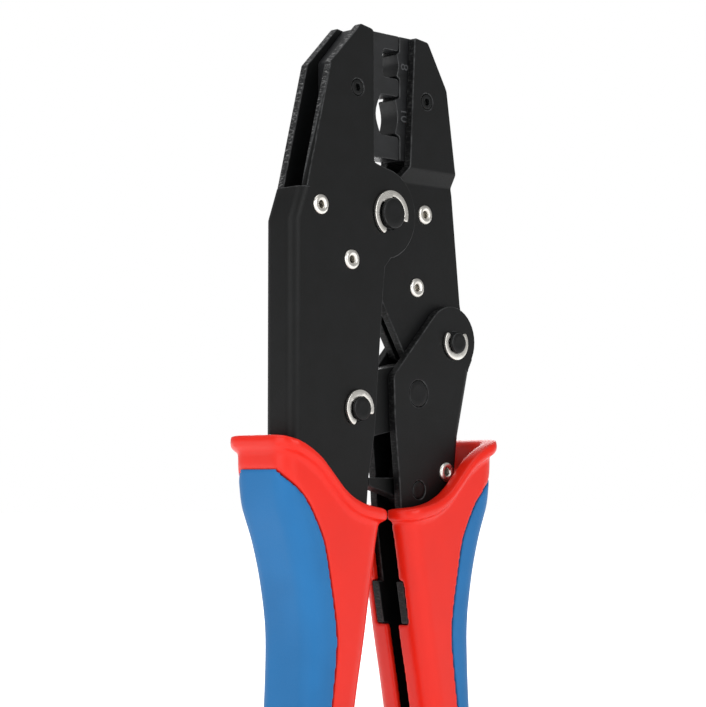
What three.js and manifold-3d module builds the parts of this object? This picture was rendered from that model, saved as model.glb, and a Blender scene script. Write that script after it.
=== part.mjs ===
// Ratchet crimping tool: a folded steel frame with a fixed jaw, a plate-built moving jaw,
// a folded moving handle, a toothed toggle link with its pawl, and two two-colour grips.
// Millimetres. X runs from the fixed side to the moving side, Y from front to back, Z up.
// Everything is drawn around the main pivot at (0, 0, 0), jaws shut, and the finished group is
// then moved so that the origin is under its middle, on the surface that the grips stand on.

import * as THREE from 'three';
import { mergeVertices } from 'three/addons/utils/BufferGeometryUtils.js';
import Module from 'manifold-3d';

const wasm = await Module();
wasm.setup();

// ---------------------------------------------------------------- driving dimensions

const JAW_TOP = 52.6; // main pivot to the tip of the fixed jaw
const STAND = 177.5; // main pivot down to the flat ends of the grips
const TANG_END = STAND - 13.5; // main pivot down to the ends of the steel inside the grips
const PLATE = 2.5; // sheet thickness of every plate
const CHANNEL_GAP = 7; // between the two outer plates
const BEND = 3.2; // outside radius of the folds
const JOGGLE_TOP = 14.4; // height where the moving jaw's plates start to step inwards
const JOGGLE_DROP = 3.6; // height that the step takes

const FIT = 0.15; // running gap between faces that slide on each other, and round pins
const SEAT = 0.3; // gap around pieces that are set into others
const JOIN = 0.02; // overlap of lengths that are joined into one piece
const FACE = 0.02; // from a head's underside to the plate that it bears on
const DIE_GAP = 0.3; // between the two dies when the jaws are shut

// Pivots and fasteners, [x, z] from the main pivot
const MAIN_PIVOT = [0, 0];
const LINK_PIVOT = [-12.6, -55.2]; // link on the frame
const HANDLE_PIVOT = [26.9, -35.2]; // handle on the moving jaw
const TOGGLE_PIVOT = [11.9, -50.3]; // link on the handle, the pivot that stays open
const PAWL_PIVOT = [11.9, -77.6];
const FRAME_RIVETS = [[-26.9, 0.2], [-15, -14]];
const JAW_RIVETS = [[17.4, 1.6], [14, -19.8]];
const SPRING_RIVET = [25.9 - PLATE, -72.5]; // its spring's eye clears the handle's fold
const RETURN_EYE = [-18.5, -20]; // where the return spring hooks on the spacer
const LINK_EYE = [-21.3, -49.6]; // and on the toggle link
const PAWL_EYE = [15.6, -72.3]; // where the pawl's spring hooks on the pawl
const FIXED_SCREW = [-12.6, 34.4];
const MOVING_SCREW = [15.6, 33.9];

// clip and head: how far the retaining clip and the head behind the back plate reach past the pin
const MAIN_PIN = { radius: 4.4, clip: 2.2, head: 2 };
const LINK_PIN = { radius: 3.35, clip: 1.9 };
const HANDLE_PIN = { radius: 3.1, clip: 1.8, head: 1.7 };
const PIN_RISE = 2.2; // how far a pin stands out of the front plate
const PIN_HEAD = 1.6; // and how thick its head is
const GROOVE = 0.8; // depth of the clip groove in a pin
const CLIP = { thickness: 1, band: 1.6, mouth: 0.85, lug: 0.85 }; // mouth: half angle, lug: half width
const ADJUSTER = { radius: 7, wave: 0.55, notches: 14, thickness: 2.4 };
const LOCK_SCREW = { shank: 1.4, head: 2.8, height: 1.7, distance: 9.4, angle: (215 * Math.PI) / 180 };
const TOGGLE_RIVET_RADIUS = 3.75;
const PAWL_RIVET_RADIUS = 2.5;
const DIE_SCREW = { radius: 2.25, socket: 1.25 };
const TUBE_RIVET = { head: 2.8, barrel: 1.6, bore: 1.05, rise: 0.6 };

const WEB_TOP = 4.9; // height where the frame's folded spine is cut off
const LOBE = { center: [-2.2, 0], radius: 12.9 }; // round boss of the frame around the main pivot
const JAW_LOBE = 9.5; // moving jaw around the main pivot
const JAW_HEEL = 7.8; // moving jaw around the handle pivot
const HANDLE_LOBE = { offset: [-1, 0.6], radius: 10 }; // handle's round top, from the handle pivot

const HALF_GAP = CHANNEL_GAP / 2;
const HALF = HALF_GAP + PLATE; // half thickness over the outer plates

const DIE_TOP = JAW_TOP - 0.6;
const DIE_BOTTOM = 16.2;
const DIE_HALF = HALF_GAP - 0.1; // half thickness of a die
const PARTING = 6.75; // x of the plane where the dies meet
// Nests from the bottom up. depth is at a nest's ends and bulge is what its middle adds;
// tooth is how far the moving die reaches in, and hollow is the dish in the tooth's tip
const NESTS = [
  { low: 22.9, high: 34.4, depth: 7.5, bulge: 1.2, tooth: 1.9, hollow: 0.7 },
  { low: 39.6, high: 47.6, depth: 6.4, bulge: 0.1, tooth: 1.2, hollow: 0.5 },
];
const NEST_CORNER = 1;
const NEST_MOUTH = 1.3; // radius of the corners where a nest opens

const LINK_WIDTH = 9; // half width of the toggle link
const LINK_HALF = HALF_GAP - 0.2; // half thickness of the toggle link
const RATCHET = { radius: 12, depth: 1, teeth: 12, from: -100, to: -22 };
const TOGGLE_SLACK = 0.95; // extra radius of the link's hole at the open pivot
const TOGGLE_SHIFT = [-0.34, -0.65]; // and its offset, so that the slack is used evenly
const PAWL_HALF = HALF_GAP - 1;
const RETURN_SPRING = { coil: 2.3, wire: 0.45, turns: 10, eyeFrom: 1.8, eyeTo: 1.8 };
const PAWL_SPRING = { coil: 1.3, wire: 0.25, turns: 4, eyeFrom: 1.25, eyeTo: 2.1 };

// Grips, drawn as [s, z]: s is the distance outwards from the plane midway between the grips
const GRIP_PLANE = -2.4;
const GRIP_HALF = 11; // half thickness of a grip
const GRIP_ROUND = 5.5; // radius of its long edges
const COLLAR = { half: 13.5, round: 7, inner: 2, outer: 44, band: 3.4 };
const MOUTH = { wall: 3, depth: 8 }; // hollow at the top of a grip
const INLAY_DEPTH = 2;
const INLAY_TOP = -71.2;
const INLAY_END = -STAND + 5;
const LIP = 2.3; // thickness of the grip's lips over the steel
const SLOT = { half: 2.3, mouth: 4.8 }; // half widths between the lips, below and above the window
const WINDOW = { high: -103, low: -115.5 }; // opening in the lips, filled by the steel's tabs

const ROUND_STEPS = 20; // sides of a full circle
const FINE_STEPS = 40; // and of the large round ends
const THROUGH = 20; // half length of a cut that goes through every plate

// ---------------------------------------------------------------- materials

function finish(color, roughness, metalness) {
  return new THREE.MeshStandardMaterial({ color, roughness, metalness });
}

const blackSteel = () => finish(0x2a2b2c, 0.55, 0.4);
const dieSteel = () => finish(0x333436, 0.45, 0.5);
const plated = () => finish(0xc8c8c8, 0.3, 1);
const redPlastic = () => finish(0xf04334, 0.5, 0);
const blueRubber = () => finish(0x2f80c4, 0.7, 0);

// ---------------------------------------------------------------- shape helpers

/** Turns a closed geometry into a solid that can be joined and cut. */
function solid(geometry) {
  const bare = geometry.clone();
  bare.deleteAttribute('normal');
  bare.deleteAttribute('uv');
  const merged = mergeVertices(bare, 1e-4);
  return new wasm.Manifold(new wasm.Mesh({
    numProp: 3,
    vertProperties: new Float32Array(merged.attributes.position.array),
    triVerts: new Uint32Array(merged.index.array),
  }));
}

/** Outline through [x, z, corner radius] points, with its corners rounded. */
function outline(points) {
  const shape = new THREE.Shape();
  points.forEach(([x, z, radius = 0], i) => {
    const corner = new THREE.Vector2(x, z);
    const before = new THREE.Vector2(...points.at(i - 1)).sub(corner);
    const after = new THREE.Vector2(...points[(i + 1) % points.length]).sub(corner);
    const half = before.angleTo(after) / 2;
    const reach = Math.min(radius / Math.tan(half), 0.48 * before.length(), 0.48 * after.length());
    const start = before.setLength(reach).add(corner);
    const end = after.setLength(reach).add(corner);
    if (i === 0) shape.moveTo(start.x, start.y);
    else shape.lineTo(start.x, start.y);
    if (reach > 0) shape.quadraticCurveTo(x, z, end.x, end.y);
  });
  shape.closePath();
  return shape;
}

/** Outline through [x, z] points with sharp corners. */
const polygon = (points) => new THREE.Shape(points.map(([x, z]) => new THREE.Vector2(x, z)));

function circle([x, z], radius) {
  return new THREE.Shape().absarc(x, z, radius, 0, 2 * Math.PI);
}

/** Two circles joined by their outer tangents. */
function barOutline([ax, az], [bx, bz], ra, rb) {
  const along = Math.atan2(bz - az, bx - ax);
  const lean = Math.acos((ra - rb) / Math.hypot(bx - ax, bz - az));
  return new THREE.Shape()
    .absarc(ax, az, ra, along + lean, along - lean + 2 * Math.PI, false)
    .absarc(bx, bz, rb, along - lean, along + lean, false);
}

/** An [x, z] shape made solid from y = front to y = back. */
function prism(shape, front, back, curveSegments = 1) {
  const geometry = new THREE.ExtrudeGeometry(shape, {
    depth: back - front,
    bevelEnabled: false,
    curveSegments,
  });
  geometry.rotateX(Math.PI / 2);
  geometry.translate(0, back, 0);
  return solid(geometry);
}

const plateOf = (points, front, back) => prism(outline(points), front, back, 4);

function disc(center, radius, front, back, steps = ROUND_STEPS) {
  return prism(circle(center, radius), front, back, steps / 2);
}

/** A lever of two round ends, as thick on both sides of the middle plane. */
function bar(a, b, ra, rb, half) {
  return prism(barOutline(a, b, ra, rb), -half, half, ROUND_STEPS / 2);
}

/** A closed [radius, y] profile turned about the Y axis and set at [x, z]. */
function turned(profile, [x, z], steps = ROUND_STEPS) {
  const points = profile.map(([r, y]) => new THREE.Vector2(r, y));
  const geometry = new THREE.LatheGeometry(points, steps);
  geometry.translate(x, 0, z);
  return solid(geometry);
}

const unite = (...solids) => solids.reduce((all, one) => all.add(one));

/** A round hole through every plate. */
const drill = (body, center, radius) => body.subtract(disc(center, radius, -THROUGH, THROUGH));

function mesh(name, body, material) {
  const { vertProperties, triVerts } = body.getMesh();
  const geometry = new THREE.BufferGeometry();
  geometry.setAttribute('position', new THREE.BufferAttribute(vertProperties, 3));
  geometry.setIndex(new THREE.BufferAttribute(triVerts, 1));
  geometry.computeVertexNormals();
  const part = new THREE.Mesh(geometry, material);
  part.name = name;
  return part;
}

/** Grip coordinates to tool coordinates: side is -1 for the left grip, 1 for the right one. */
const fromGrip = (side, points) => points.map(([s, z, r]) => [GRIP_PLANE + side * s, z, r ?? 0]);

// ---------------------------------------------------------------- folded channels

/**
 * The folded web of a channel with its two bends. The path gives its outer face as [x, z] points
 * from the bottom up, and side says which way the web faces: -1 left, 1 right.
 */
function foldedWeb(path, side) {
  const reach = BEND + 1;
  const inner = BEND - PLATE;
  const section = new THREE.Shape();
  section.moveTo(-reach, -HALF);
  section.lineTo(-BEND, -HALF);
  section.absarc(-BEND, -HALF + BEND, BEND, -Math.PI / 2, 0, false);
  section.absarc(-BEND, HALF - BEND, BEND, 0, Math.PI / 2, false);
  section.lineTo(-reach, HALF);
  section.lineTo(-reach, HALF_GAP);
  section.absarc(-BEND, HALF - BEND, inner, Math.PI / 2, 0, true);
  section.absarc(-BEND, -HALF + BEND, inner, 0, -Math.PI / 2, true);
  section.lineTo(-reach, -HALF_GAP);
  section.closePath();
  const lengths = path.slice(1).map(([x, z], i) => {
    const [x0, z0] = path[i];
    const join = i < path.length - 2 ? JOIN : 0;
    const geometry = new THREE.ExtrudeGeometry(section, {
      depth: z - z0 + join,
      bevelEnabled: false,
      curveSegments: 4,
    });
    const lean = (x - x0) / (z - z0);
    if (side < 0) geometry.rotateZ(Math.PI);
    geometry.applyMatrix4(new THREE.Matrix4().makeShear(0, 0, 0, 0, lean, 0));
    geometry.translate(x0, 0, z0);
    return solid(geometry);
  });
  return unite(...lengths);
}

/** Both outer plates of a channel. */
function platePair(points) {
  return unite(plateOf(points, -HALF, -HALF_GAP), plateOf(points, HALF_GAP, HALF));
}

/** A large round end on both outer plates. */
function discPair(center, radius) {
  return unite(
    disc(center, radius, -HALF, -HALF_GAP, FINE_STEPS),
    disc(center, radius, HALF_GAP, HALF, FINE_STEPS),
  );
}

// Steel inside a grip, in grip coordinates, from the top down
const TANG_INNER = [[7.2, -88], [9.9, -106], [12, -118], [15.2, -134], [17.8, -150], [19.2, -TANG_END]];
const TANG_OUTER = [[27.3, -116], [28.5, -TANG_END]];

/** Tab of the steel that fills the window in the grip's lips. */
function tab(side) {
  const face = LIP - SEAT;
  const points = [
    [9.4 - face, WINDOW.high - SEAT],
    [15, WINDOW.high - SEAT],
    [17, WINDOW.low + SEAT],
    [11.6 - face, WINDOW.low + SEAT],
  ];
  return platePair(fromGrip(side, points));
}

// ---------------------------------------------------------------- frame

// The spine's outer face, from the tang's end up to where it is cut off
const FRAME_WEB = [
  ...fromGrip(-1, [...TANG_OUTER].reverse()),
  ...fromGrip(-1, [[29.6, -100], [34.8, -82]]),
  [-37.2, -4.3],
  [-33.9, WEB_TOP],
].map(([x, z]) => [x, z]);

function frameChannel() {
  const spine = FRAME_WEB.map(([x, z]) => [x + BEND, z, 0]);
  const plates = platePair([
    ...spine,
    [-32.2, WEB_TOP, 0],
    [-23.1, JAW_TOP - 12.1, 1],
    [-11.4, JAW_TOP, 1.2],
    [-6.1, JAW_TOP - 0.9, 1.5],
    [-6, 14.1, 1.2],
    [1.4, 12.2, 0],
    [0.8, -12.4, 0],
    [-1.7, -15, 2],
    [-2.5, -22, 0],
    [-5.9, -61.5, 0],
    [-8.3, -74, 3],
    ...fromGrip(-1, TANG_INNER),
  ]);
  let body = unite(plates, discPair(LOBE.center, LOBE.radius), foldedWeb(FRAME_WEB, -1), tab(-1));
  body = drill(body, MAIN_PIVOT, MAIN_PIN.radius + FIT);
  body = drill(body, LINK_PIVOT, LINK_PIN.radius + FIT);
  body = drill(body, FIXED_SCREW, DIE_SCREW.radius + FIT);
  for (const rivet of FRAME_RIVETS) body = drill(body, rivet, TUBE_RIVET.barrel + FIT);
  return body.subtract(disc(lockScrewPlace(), LOCK_SCREW.shank + FIT, 0, HALF + 1));
}

/** Fork at the end of a lever: a slot for the spring's eye, bridged by a post. */
function springFork(body, center, size, slotHalf, post) {
  const slot = disc(center, size + 0.6, -slotHalf, slotHalf);
  return body.subtract(slot).add(disc(center, post, -slotHalf - 0.5, slotHalf + 0.5));
}

function frameSpacer() {
  const [upper, lower] = FRAME_RIVETS;
  const half = HALF_GAP - FIT;
  let body = unite(bar(upper, lower, 4.5, 4.5, half), bar(lower, RETURN_EYE, 4.5, 3, half));
  for (const rivet of FRAME_RIVETS) body = drill(body, rivet, TUBE_RIVET.barrel + FIT);
  return springFork(body, RETURN_EYE, 3, 1.2, 0.9);
}

// ---------------------------------------------------------------- fasteners

/** Tubular rivet through plates whose outer faces are at y = -reach and reach. */
function tubeRivet(center, reach) {
  const { head, barrel, bore, rise } = TUBE_RIVET;
  const face = reach + FACE;
  const end = reach + rise;
  const sides = 14;
  return turned([
    [bore, -end], [head - 0.5, -end], [head, -end + 0.35], [head, -face], [barrel, -face],
    [barrel, face], [head, face], [head, end - 0.35], [head - 0.5, end], [bore, end], [bore, -end],
  ], center, sides);
}

/** Front end of a pin, with its clip groove, as the start of a turned profile. */
function groovedEnd(radius) {
  const front = -HALF - PIN_RISE;
  const groove = -HALF - FIT - CLIP.thickness - FIT;
  return [
    [0, front], [radius - 0.6, front], [radius, front + 0.6], [radius, groove],
    [radius - GROOVE, groove], [radius - GROOVE, -HALF - FACE], [radius, -HALF - FACE],
  ];
}

/** Pivot pin: a clip groove at the front, and a flat head behind the back plate. */
function headedPin(center, { radius, head }) {
  const rim = radius + head;
  const end = HALF + PIN_HEAD;
  return turned([
    ...groovedEnd(radius),
    [radius, HALF + FACE], [rim, HALF + FACE], [rim, end - 0.4], [rim - 0.4, end], [0, end],
  ], center);
}

/** Flush rivet that ends level with the outer plates. */
function flushRivet(center, radius) {
  return turned([
    [0, -HALF], [radius - 0.25, -HALF], [radius, -HALF + 0.25], [radius, HALF - 0.25],
    [radius - 0.25, HALF], [0, HALF],
  ], center);
}

/** Retaining clip in a pin's groove: an open ring with three lugs. open is its mouth's angle. */
function retainingClip([x, z], { radius, clip }, open) {
  const back = -HALF - FIT;
  const front = back - CLIP.thickness;
  const outer = radius + clip;
  const inner = outer - CLIP.band;
  const seat = radius - GROOVE + 0.1;
  const full = 2 * Math.PI;
  const ring = new THREE.Shape()
    .absarc(x, z, outer, open + CLIP.mouth, open - CLIP.mouth + full, false)
    .absarc(x, z, inner, open - CLIP.mouth + full, open + CLIP.mouth, true);
  let body = prism(ring, front, back, 16);
  const tip = CLIP.mouth + CLIP.lug / inner;
  for (const [turn, width] of [[tip, CLIP.lug], [Math.PI, 2 * CLIP.lug], [-tip, CLIP.lug]]) {
    const along = new THREE.Vector2(Math.cos(open + turn), Math.sin(open + turn));
    const corner = (r, w) => [x + along.x * r - along.y * w, z + along.y * r + along.x * w];
    const root = inner + CLIP.band / 4;
    const points = [corner(seat, -width), corner(root, -width), corner(root, width), corner(seat, width)];
    body = body.add(plateOf(points, front, back));
  }
  return body.subtract(disc([x, z], seat, front - 1, back + 1));
}

/** Countersunk die screw, level with both outer plates, with a hexagon socket. */
function dieScrew(center) {
  const socket = new THREE.CylinderGeometry(DIE_SCREW.socket, DIE_SCREW.socket, 3, 6);
  socket.translate(center[0], -HALF, center[1]);
  return flushRivet(center, DIE_SCREW.radius).subtract(solid(socket));
}

function lockScrewPlace() {
  const { distance, angle } = LOCK_SCREW;
  return [LINK_PIVOT[0] + distance * Math.cos(angle), LINK_PIVOT[1] + distance * Math.sin(angle)];
}

/** Pin of the toggle link: clip at the front, adjusting wheel at the back. */
function linkPin() {
  const { radius } = LINK_PIN;
  const end = HALF + FIT + ADJUSTER.thickness + 0.5;
  return turned([...groovedEnd(radius), [radius, end - 0.4], [radius - 0.4, end], [0, end]], LINK_PIVOT);
}

/** Scalloped wheel on the back end of the link pin. */
function adjusterWheel() {
  const { radius, wave, notches, thickness } = ADJUSTER;
  const steps = notches * 6;
  const points = Array.from({ length: steps }, (_, i) => {
    const turn = (2 * Math.PI * i) / steps;
    const r = radius + wave * Math.cos(notches * turn);
    return [LINK_PIVOT[0] + r * Math.cos(turn), LINK_PIVOT[1] + r * Math.sin(turn)];
  });
  const front = HALF + FIT;
  return drill(prism(polygon(points), front, front + thickness), LINK_PIVOT, LINK_PIN.radius + 0.05);
}

/** Screw beside the wheel: its head reaches over the wheel's rim. */
function lockScrew() {
  const { shank, head, height } = LOCK_SCREW;
  const place = lockScrewPlace();
  const seat = HALF + FIT + ADJUSTER.thickness + 0.25;
  const body = turned([
    [0, HALF_GAP + FIT], [shank, HALF_GAP + FIT], [shank, seat], [head, seat],
    [head, seat + height - 0.5], [head - 0.5, seat + height], [0, seat + height],
  ], place, 24);
  const slot = new THREE.BoxGeometry(2 * head + 1, 1.6, 0.8);
  slot.translate(place[0], seat + height, place[1]);
  return body.subtract(solid(slot));
}

// ---------------------------------------------------------------- dies

/** Fixed die: a block with two nests in its face. Their walls bow outwards a little. */
function fixedDie() {
  const face = PARTING - DIE_GAP / 2;
  const nests = NESTS.flatMap(({ low, high, depth, bulge }) => [
    [face, low, NEST_MOUTH],
    [face - depth, low, NEST_CORNER],
    [face - depth - 2 * bulge, (low + high) / 2, high - low],
    [face - depth, high, NEST_CORNER],
    [face, high, NEST_MOUTH],
  ]);
  const body = plateOf([
    [face, DIE_BOTTOM, 0.4],
    ...nests,
    [face, DIE_TOP, 0.4],
    [-9.5, DIE_TOP, 0.8],
    [-19, DIE_TOP - 10.5, 1.5],
    [-19, DIE_BOTTOM, 0.8],
  ], -DIE_HALF, DIE_HALF);
  return drill(body, FIXED_SCREW, DIE_SCREW.radius + FIT);
}

/** Moving die: a block with one low tooth for each nest. The teeth have dished tips. */
function movingDie() {
  const face = PARTING + DIE_GAP / 2;
  const teeth = NESTS.flatMap(({ low, high, tooth, hollow }) => [
    [face, low + 0.2, 0.8],
    [face - tooth, low + 0.8, 0.4],
    [face - tooth + 2 * hollow, (low + high) / 2, high - low],
    [face - tooth, high - 0.8, 0.4],
    [face, high - 0.2, 0.8],
  ]);
  const body = plateOf([
    [face, DIE_BOTTOM, 0.4],
    ...teeth,
    [face, DIE_TOP, 0.4],
    [13.4, DIE_TOP, 0.8],
    [14.6, DIE_TOP - 1.6, 0.8],
    [21, DIE_TOP - 13.5, 1.5],
    [21, DIE_BOTTOM, 0.8],
  ], -DIE_HALF, DIE_HALF);
  return drill(body, MOVING_SCREW, DIE_SCREW.radius + FIT);
}

// ---------------------------------------------------------------- moving jaw

const JAW_OUTLINE = [
  [10.6, JAW_TOP - 0.7, 0.8],
  [16.2, JAW_TOP - 1.4, 1.6],
  [24.1, JAW_TOP - 14.4, 4],
  [27.5, JOGGLE_TOP + 1.6, 1.5],
  [29, 8, 2],
  [32.4, -23.6, 4],
  [34.4, -33, 2],
  [27.5, -42.8, 3],
  [9.8, -40.8, 2.5],
  [0, -25.2, 8],
  [-5.5, -7, 2],
  [-5.5, 7, 2],
  [6, 10.4, 2],
  [8.6, JOGGLE_TOP + 0.4, 0.8],
];

/** One plate of the moving jaw. Side -1 is the front one. It steps inwards below the dies. */
function jawPlate(side) {
  const inner = HALF_GAP - FIT;
  const low = HANDLE_PIVOT[1] - 2 * JAW_HEEL;
  const high = JAW_TOP + 5;
  const step = JOGGLE_TOP - JOGGLE_DROP;
  const width = 6 * JAW_LOBE; // more than the plate is wide on either side
  const section = outline([
    [side * HALF, high, 0],
    [side * HALF_GAP, high, 0],
    [side * HALF_GAP, JOGGLE_TOP + 0.5, 1.5],
    [side * (inner - PLATE), step + 0.5, 1.5],
    [side * (inner - PLATE), low, 0],
    [side * inner, low, 0],
    [side * inner, step - 0.5, 1.5],
    [side * HALF, JOGGLE_TOP - 0.5, 1.5],
  ]);
  const geometry = new THREE.ExtrudeGeometry(section, {
    depth: 2 * width,
    bevelEnabled: false,
    curveSegments: 4,
  });
  const toTool = new THREE.Matrix4().makeBasis(
    new THREE.Vector3(0, 1, 0),
    new THREE.Vector3(0, 0, 1),
    new THREE.Vector3(1, 0, 0),
  );
  geometry.applyMatrix4(toTool).translate(-width, 0, 0);
  const [front, back] = side < 0 ? [-HALF - 1, 0] : [0, HALF + 1];
  let body = unite(
    plateOf(JAW_OUTLINE, front, back),
    disc(MAIN_PIVOT, JAW_LOBE, front, back, FINE_STEPS),
    disc(HANDLE_PIVOT, JAW_HEEL, front, back, FINE_STEPS),
  ).intersect(solid(geometry));
  body = drill(body, MAIN_PIVOT, MAIN_PIN.radius + FIT);
  body = drill(body, HANDLE_PIVOT, HANDLE_PIN.radius + FIT);
  body = drill(body, MOVING_SCREW, DIE_SCREW.radius + FIT);
  for (const rivet of JAW_RIVETS) body = drill(body, rivet, TUBE_RIVET.barrel + FIT);
  return body;
}

/** Thin plate that keeps the moving jaw's two plates apart below the dies. */
function jawSpacer() {
  const half = HALF_GAP - FIT - PLATE - 0.05;
  let body = plateOf([
    [-7, 4, 5],
    [4, 8.5, 5],
    [25, 8, 4],
    [30, -25, 4],
    [33, -37, 4],
    [27, -41, 4],
    [13, -38, 4],
    [-6, -8, 5],
  ], -half, half);
  body = drill(body, MAIN_PIVOT, MAIN_PIN.radius + FIT);
  body = drill(body, HANDLE_PIVOT, HANDLE_PIN.radius + FIT);
  for (const rivet of JAW_RIVETS) body = drill(body, rivet, TUBE_RIVET.barrel + FIT);
  return body;
}

// ---------------------------------------------------------------- moving handle

// The back of the handle's outer face, from the tang's end up to where the fold stops
const HANDLE_WEB = [
  ...fromGrip(1, [...TANG_OUTER].reverse()),
  ...fromGrip(1, [[28.6, -100], [29.9, -82], [31, -72]]),
  [29.9, -62],
  [34.7, -43],
].map(([x, z]) => [x, z]);

function handleChannel() {
  const lobe = [HANDLE_PIVOT[0] + HANDLE_LOBE.offset[0], HANDLE_PIVOT[1] + HANDLE_LOBE.offset[1]];
  const back = HANDLE_WEB.map(([x, z]) => [x - BEND, z, 0]);
  const plates = platePair([
    ...back,
    [32.8, -43.3, 0],
    [34.9, -39.5, 1],
    [25, -28, 0],
    [18.9, -27.4, 0],
    [1.8, -45.4, 2.5],
    [2.2, -58, 0],
    [4.2, -77, 0],
    ...fromGrip(1, TANG_INNER),
  ]);
  let body = unite(plates, discPair(lobe, HANDLE_LOBE.radius), foldedWeb(HANDLE_WEB, 1), tab(1));
  body = drill(body, HANDLE_PIVOT, HANDLE_PIN.radius + FIT);
  body = drill(body, TOGGLE_PIVOT, TOGGLE_RIVET_RADIUS + FIT);
  body = drill(body, PAWL_PIVOT, PAWL_RIVET_RADIUS + FIT);
  return drill(body, SPRING_RIVET, TUBE_RIVET.barrel + FIT);
}

// ---------------------------------------------------------------- toggle link and ratchet

/** Toothed sector of the toggle link, around the toggle pivot. */
function ratchetSector(radius, depth) {
  const { teeth, from, to } = RATCHET;
  const pitch = THREE.MathUtils.degToRad(to - from) / teeth;
  const start = THREE.MathUtils.degToRad(from);
  const [x, z] = TOGGLE_PIVOT;
  const at = (r, angle) => [x + r * Math.cos(angle), z + r * Math.sin(angle)];
  const rim = Array.from({ length: teeth }, (_, i) => [
    at(radius - depth, start + i * pitch),
    at(radius, start + (i + 0.5) * pitch),
  ]).flat();
  return plateOf([[x, z], ...rim, at(radius - depth, start + teeth * pitch)], -LINK_HALF, LINK_HALF);
}

function toggleLink() {
  let body = unite(
    bar(LINK_PIVOT, TOGGLE_PIVOT, LINK_WIDTH, LINK_WIDTH, LINK_HALF),
    ratchetSector(RATCHET.radius, RATCHET.depth),
    bar(LINK_PIVOT, LINK_EYE, 5, 3, LINK_HALF),
  );
  body = springFork(body, LINK_EYE, 3, 1.2, 0.9);
  body = drill(body, LINK_PIVOT, LINK_PIN.radius + FIT);
  const hole = [TOGGLE_PIVOT[0] + TOGGLE_SHIFT[0], TOGGLE_PIVOT[1] + TOGGLE_SHIFT[1]];
  return drill(body, hole, TOGGLE_RIVET_RADIUS + TOGGLE_SLACK);
}

/** Pawl with its tip under the ratchet, an ear for its spring and a release lever to the left. */
function ratchetPawl() {
  const tipRadius = 1.3;
  const tip = [PAWL_PIVOT[0], TOGGLE_PIVOT[1] - RATCHET.radius - SEAT - tipRadius];
  const [x, z] = PAWL_PIVOT;
  const tail = [x - 15.5, z + 2.2];
  let body = unite(
    bar(PAWL_PIVOT, tip, 4.6, tipRadius, PAWL_HALF),
    bar(PAWL_PIVOT, PAWL_EYE, 3.6, 2, PAWL_HALF),
    bar(PAWL_PIVOT, tail, 3.4, 1.3, PAWL_HALF),
  );
  body = springFork(body, PAWL_EYE, 1.9, 0.8, 0.7);
  return drill(body, PAWL_PIVOT, PAWL_RIVET_RADIUS + FIT);
}

/** Coiled tension spring in the middle plane, with an open eye around each post. */
function tensionSpring(from, to, { coil, wire, turns, eyeFrom, eyeTo }) {
  const a = new THREE.Vector3(from[0], 0, from[1]);
  const b = new THREE.Vector3(to[0], 0, to[1]);
  const along = b.clone().sub(a).normalize();
  const across = new THREE.Vector3(0, 1, 0);
  const side = across.clone().cross(along);
  const points = [];
  const put = (center, u, v, w) => points.push(center.clone()
    .addScaledVector(along, u).addScaledVector(side, v).addScaledVector(across, w));
  const eyeSteps = 6;
  for (let i = 0; i <= eyeSteps; i += 1) {
    const turn = -2.2 + (i / eyeSteps) * (2.2 + Math.PI * 0.75);
    put(a, -eyeFrom * Math.cos(turn), eyeFrom * Math.sin(turn), 0);
  }
  const lead = 2 * wire + 0.6; // from an eye to the first full turn
  const start = eyeFrom + lead;
  const end = a.distanceTo(b) - eyeTo - lead;
  const perTurn = 8;
  const total = turns * perTurn;
  for (let i = 0; i <= total; i += 1) {
    const turn = (2 * Math.PI * i) / perTurn;
    put(a, start + ((end - start) * i) / total, coil * Math.cos(turn), coil * Math.sin(turn));
  }
  for (let i = 0; i <= eyeSteps; i += 1) {
    const turn = Math.PI * 0.25 + (i / eyeSteps) * (2.2 + Math.PI * 0.75);
    put(b, -eyeTo * Math.cos(turn), eyeTo * Math.sin(turn), 0);
  }
  const path = new THREE.CatmullRomCurve3(points, false, 'centripetal');
  const section = new THREE.Shape().absarc(0, 0, wire, 0, 2 * Math.PI);
  const geometry = new THREE.ExtrudeGeometry(section, {
    steps: points.length,
    curveSegments: 3,
    extrudePath: path,
  });
  return solid(geometry);
}

// ---------------------------------------------------------------- grips

const spline = (points, steps) => new THREE.SplineCurve(points.map(([s, z]) => new THREE.Vector2(s, z)))
  .getPoints(steps).map(({ x, y }) => [x, y]);

// Long sides of a grip, from the top down
const GRIP_OUTER = [
  [42.3, -72], [41, -82], [37.2, -92], [34.2, -103], [32.3, -116], [32.4, -130], [33.3, -145],
  [34.5, -160], [34.8, -172],
];
const GRIP_INNER = [
  [3, -84], [4.9, -91], [7.6, -106], [9.7, -118], [12.9, -134], [15.5, -150], [17, -168],
];
// Straight ends of the same outline, past where the rim and the flat end cut it
const GRIP_ABOVE = [[3.3, -56], [42.7, -56]];
const GRIP_BELOW = [[34.2, -STAND - 10.5], [16.8, -STAND - 10.5]];
// Rim of the grip's mouth
const RIM = [
  [48, -62.1], [43, -62.7], [36.4, -65], [30.5, -68.4], [25.6, -73], [20.4, -77.9], [14.6, -80.9],
  [7, -82.4], [-3, -83.2],
];
// Edge of the soft inlay on the grip's faces, from the top down
const INLAY_EDGE = [
  [46, INLAY_TOP], [42.3, -71.9], [41.4, -73.2], [39.7, -74.9], [36.5, -77.7], [33.3, -81.2], [30.9, -85],
  [28.5, -89.4], [26.8, -94.4], [24.8, -104], [23.1, -114], [22.9, -121], [24.2, -132], [26.2, -146],
  [28, -158], [31, INLAY_END + 4.5], [38, INLAY_END],
];

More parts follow.
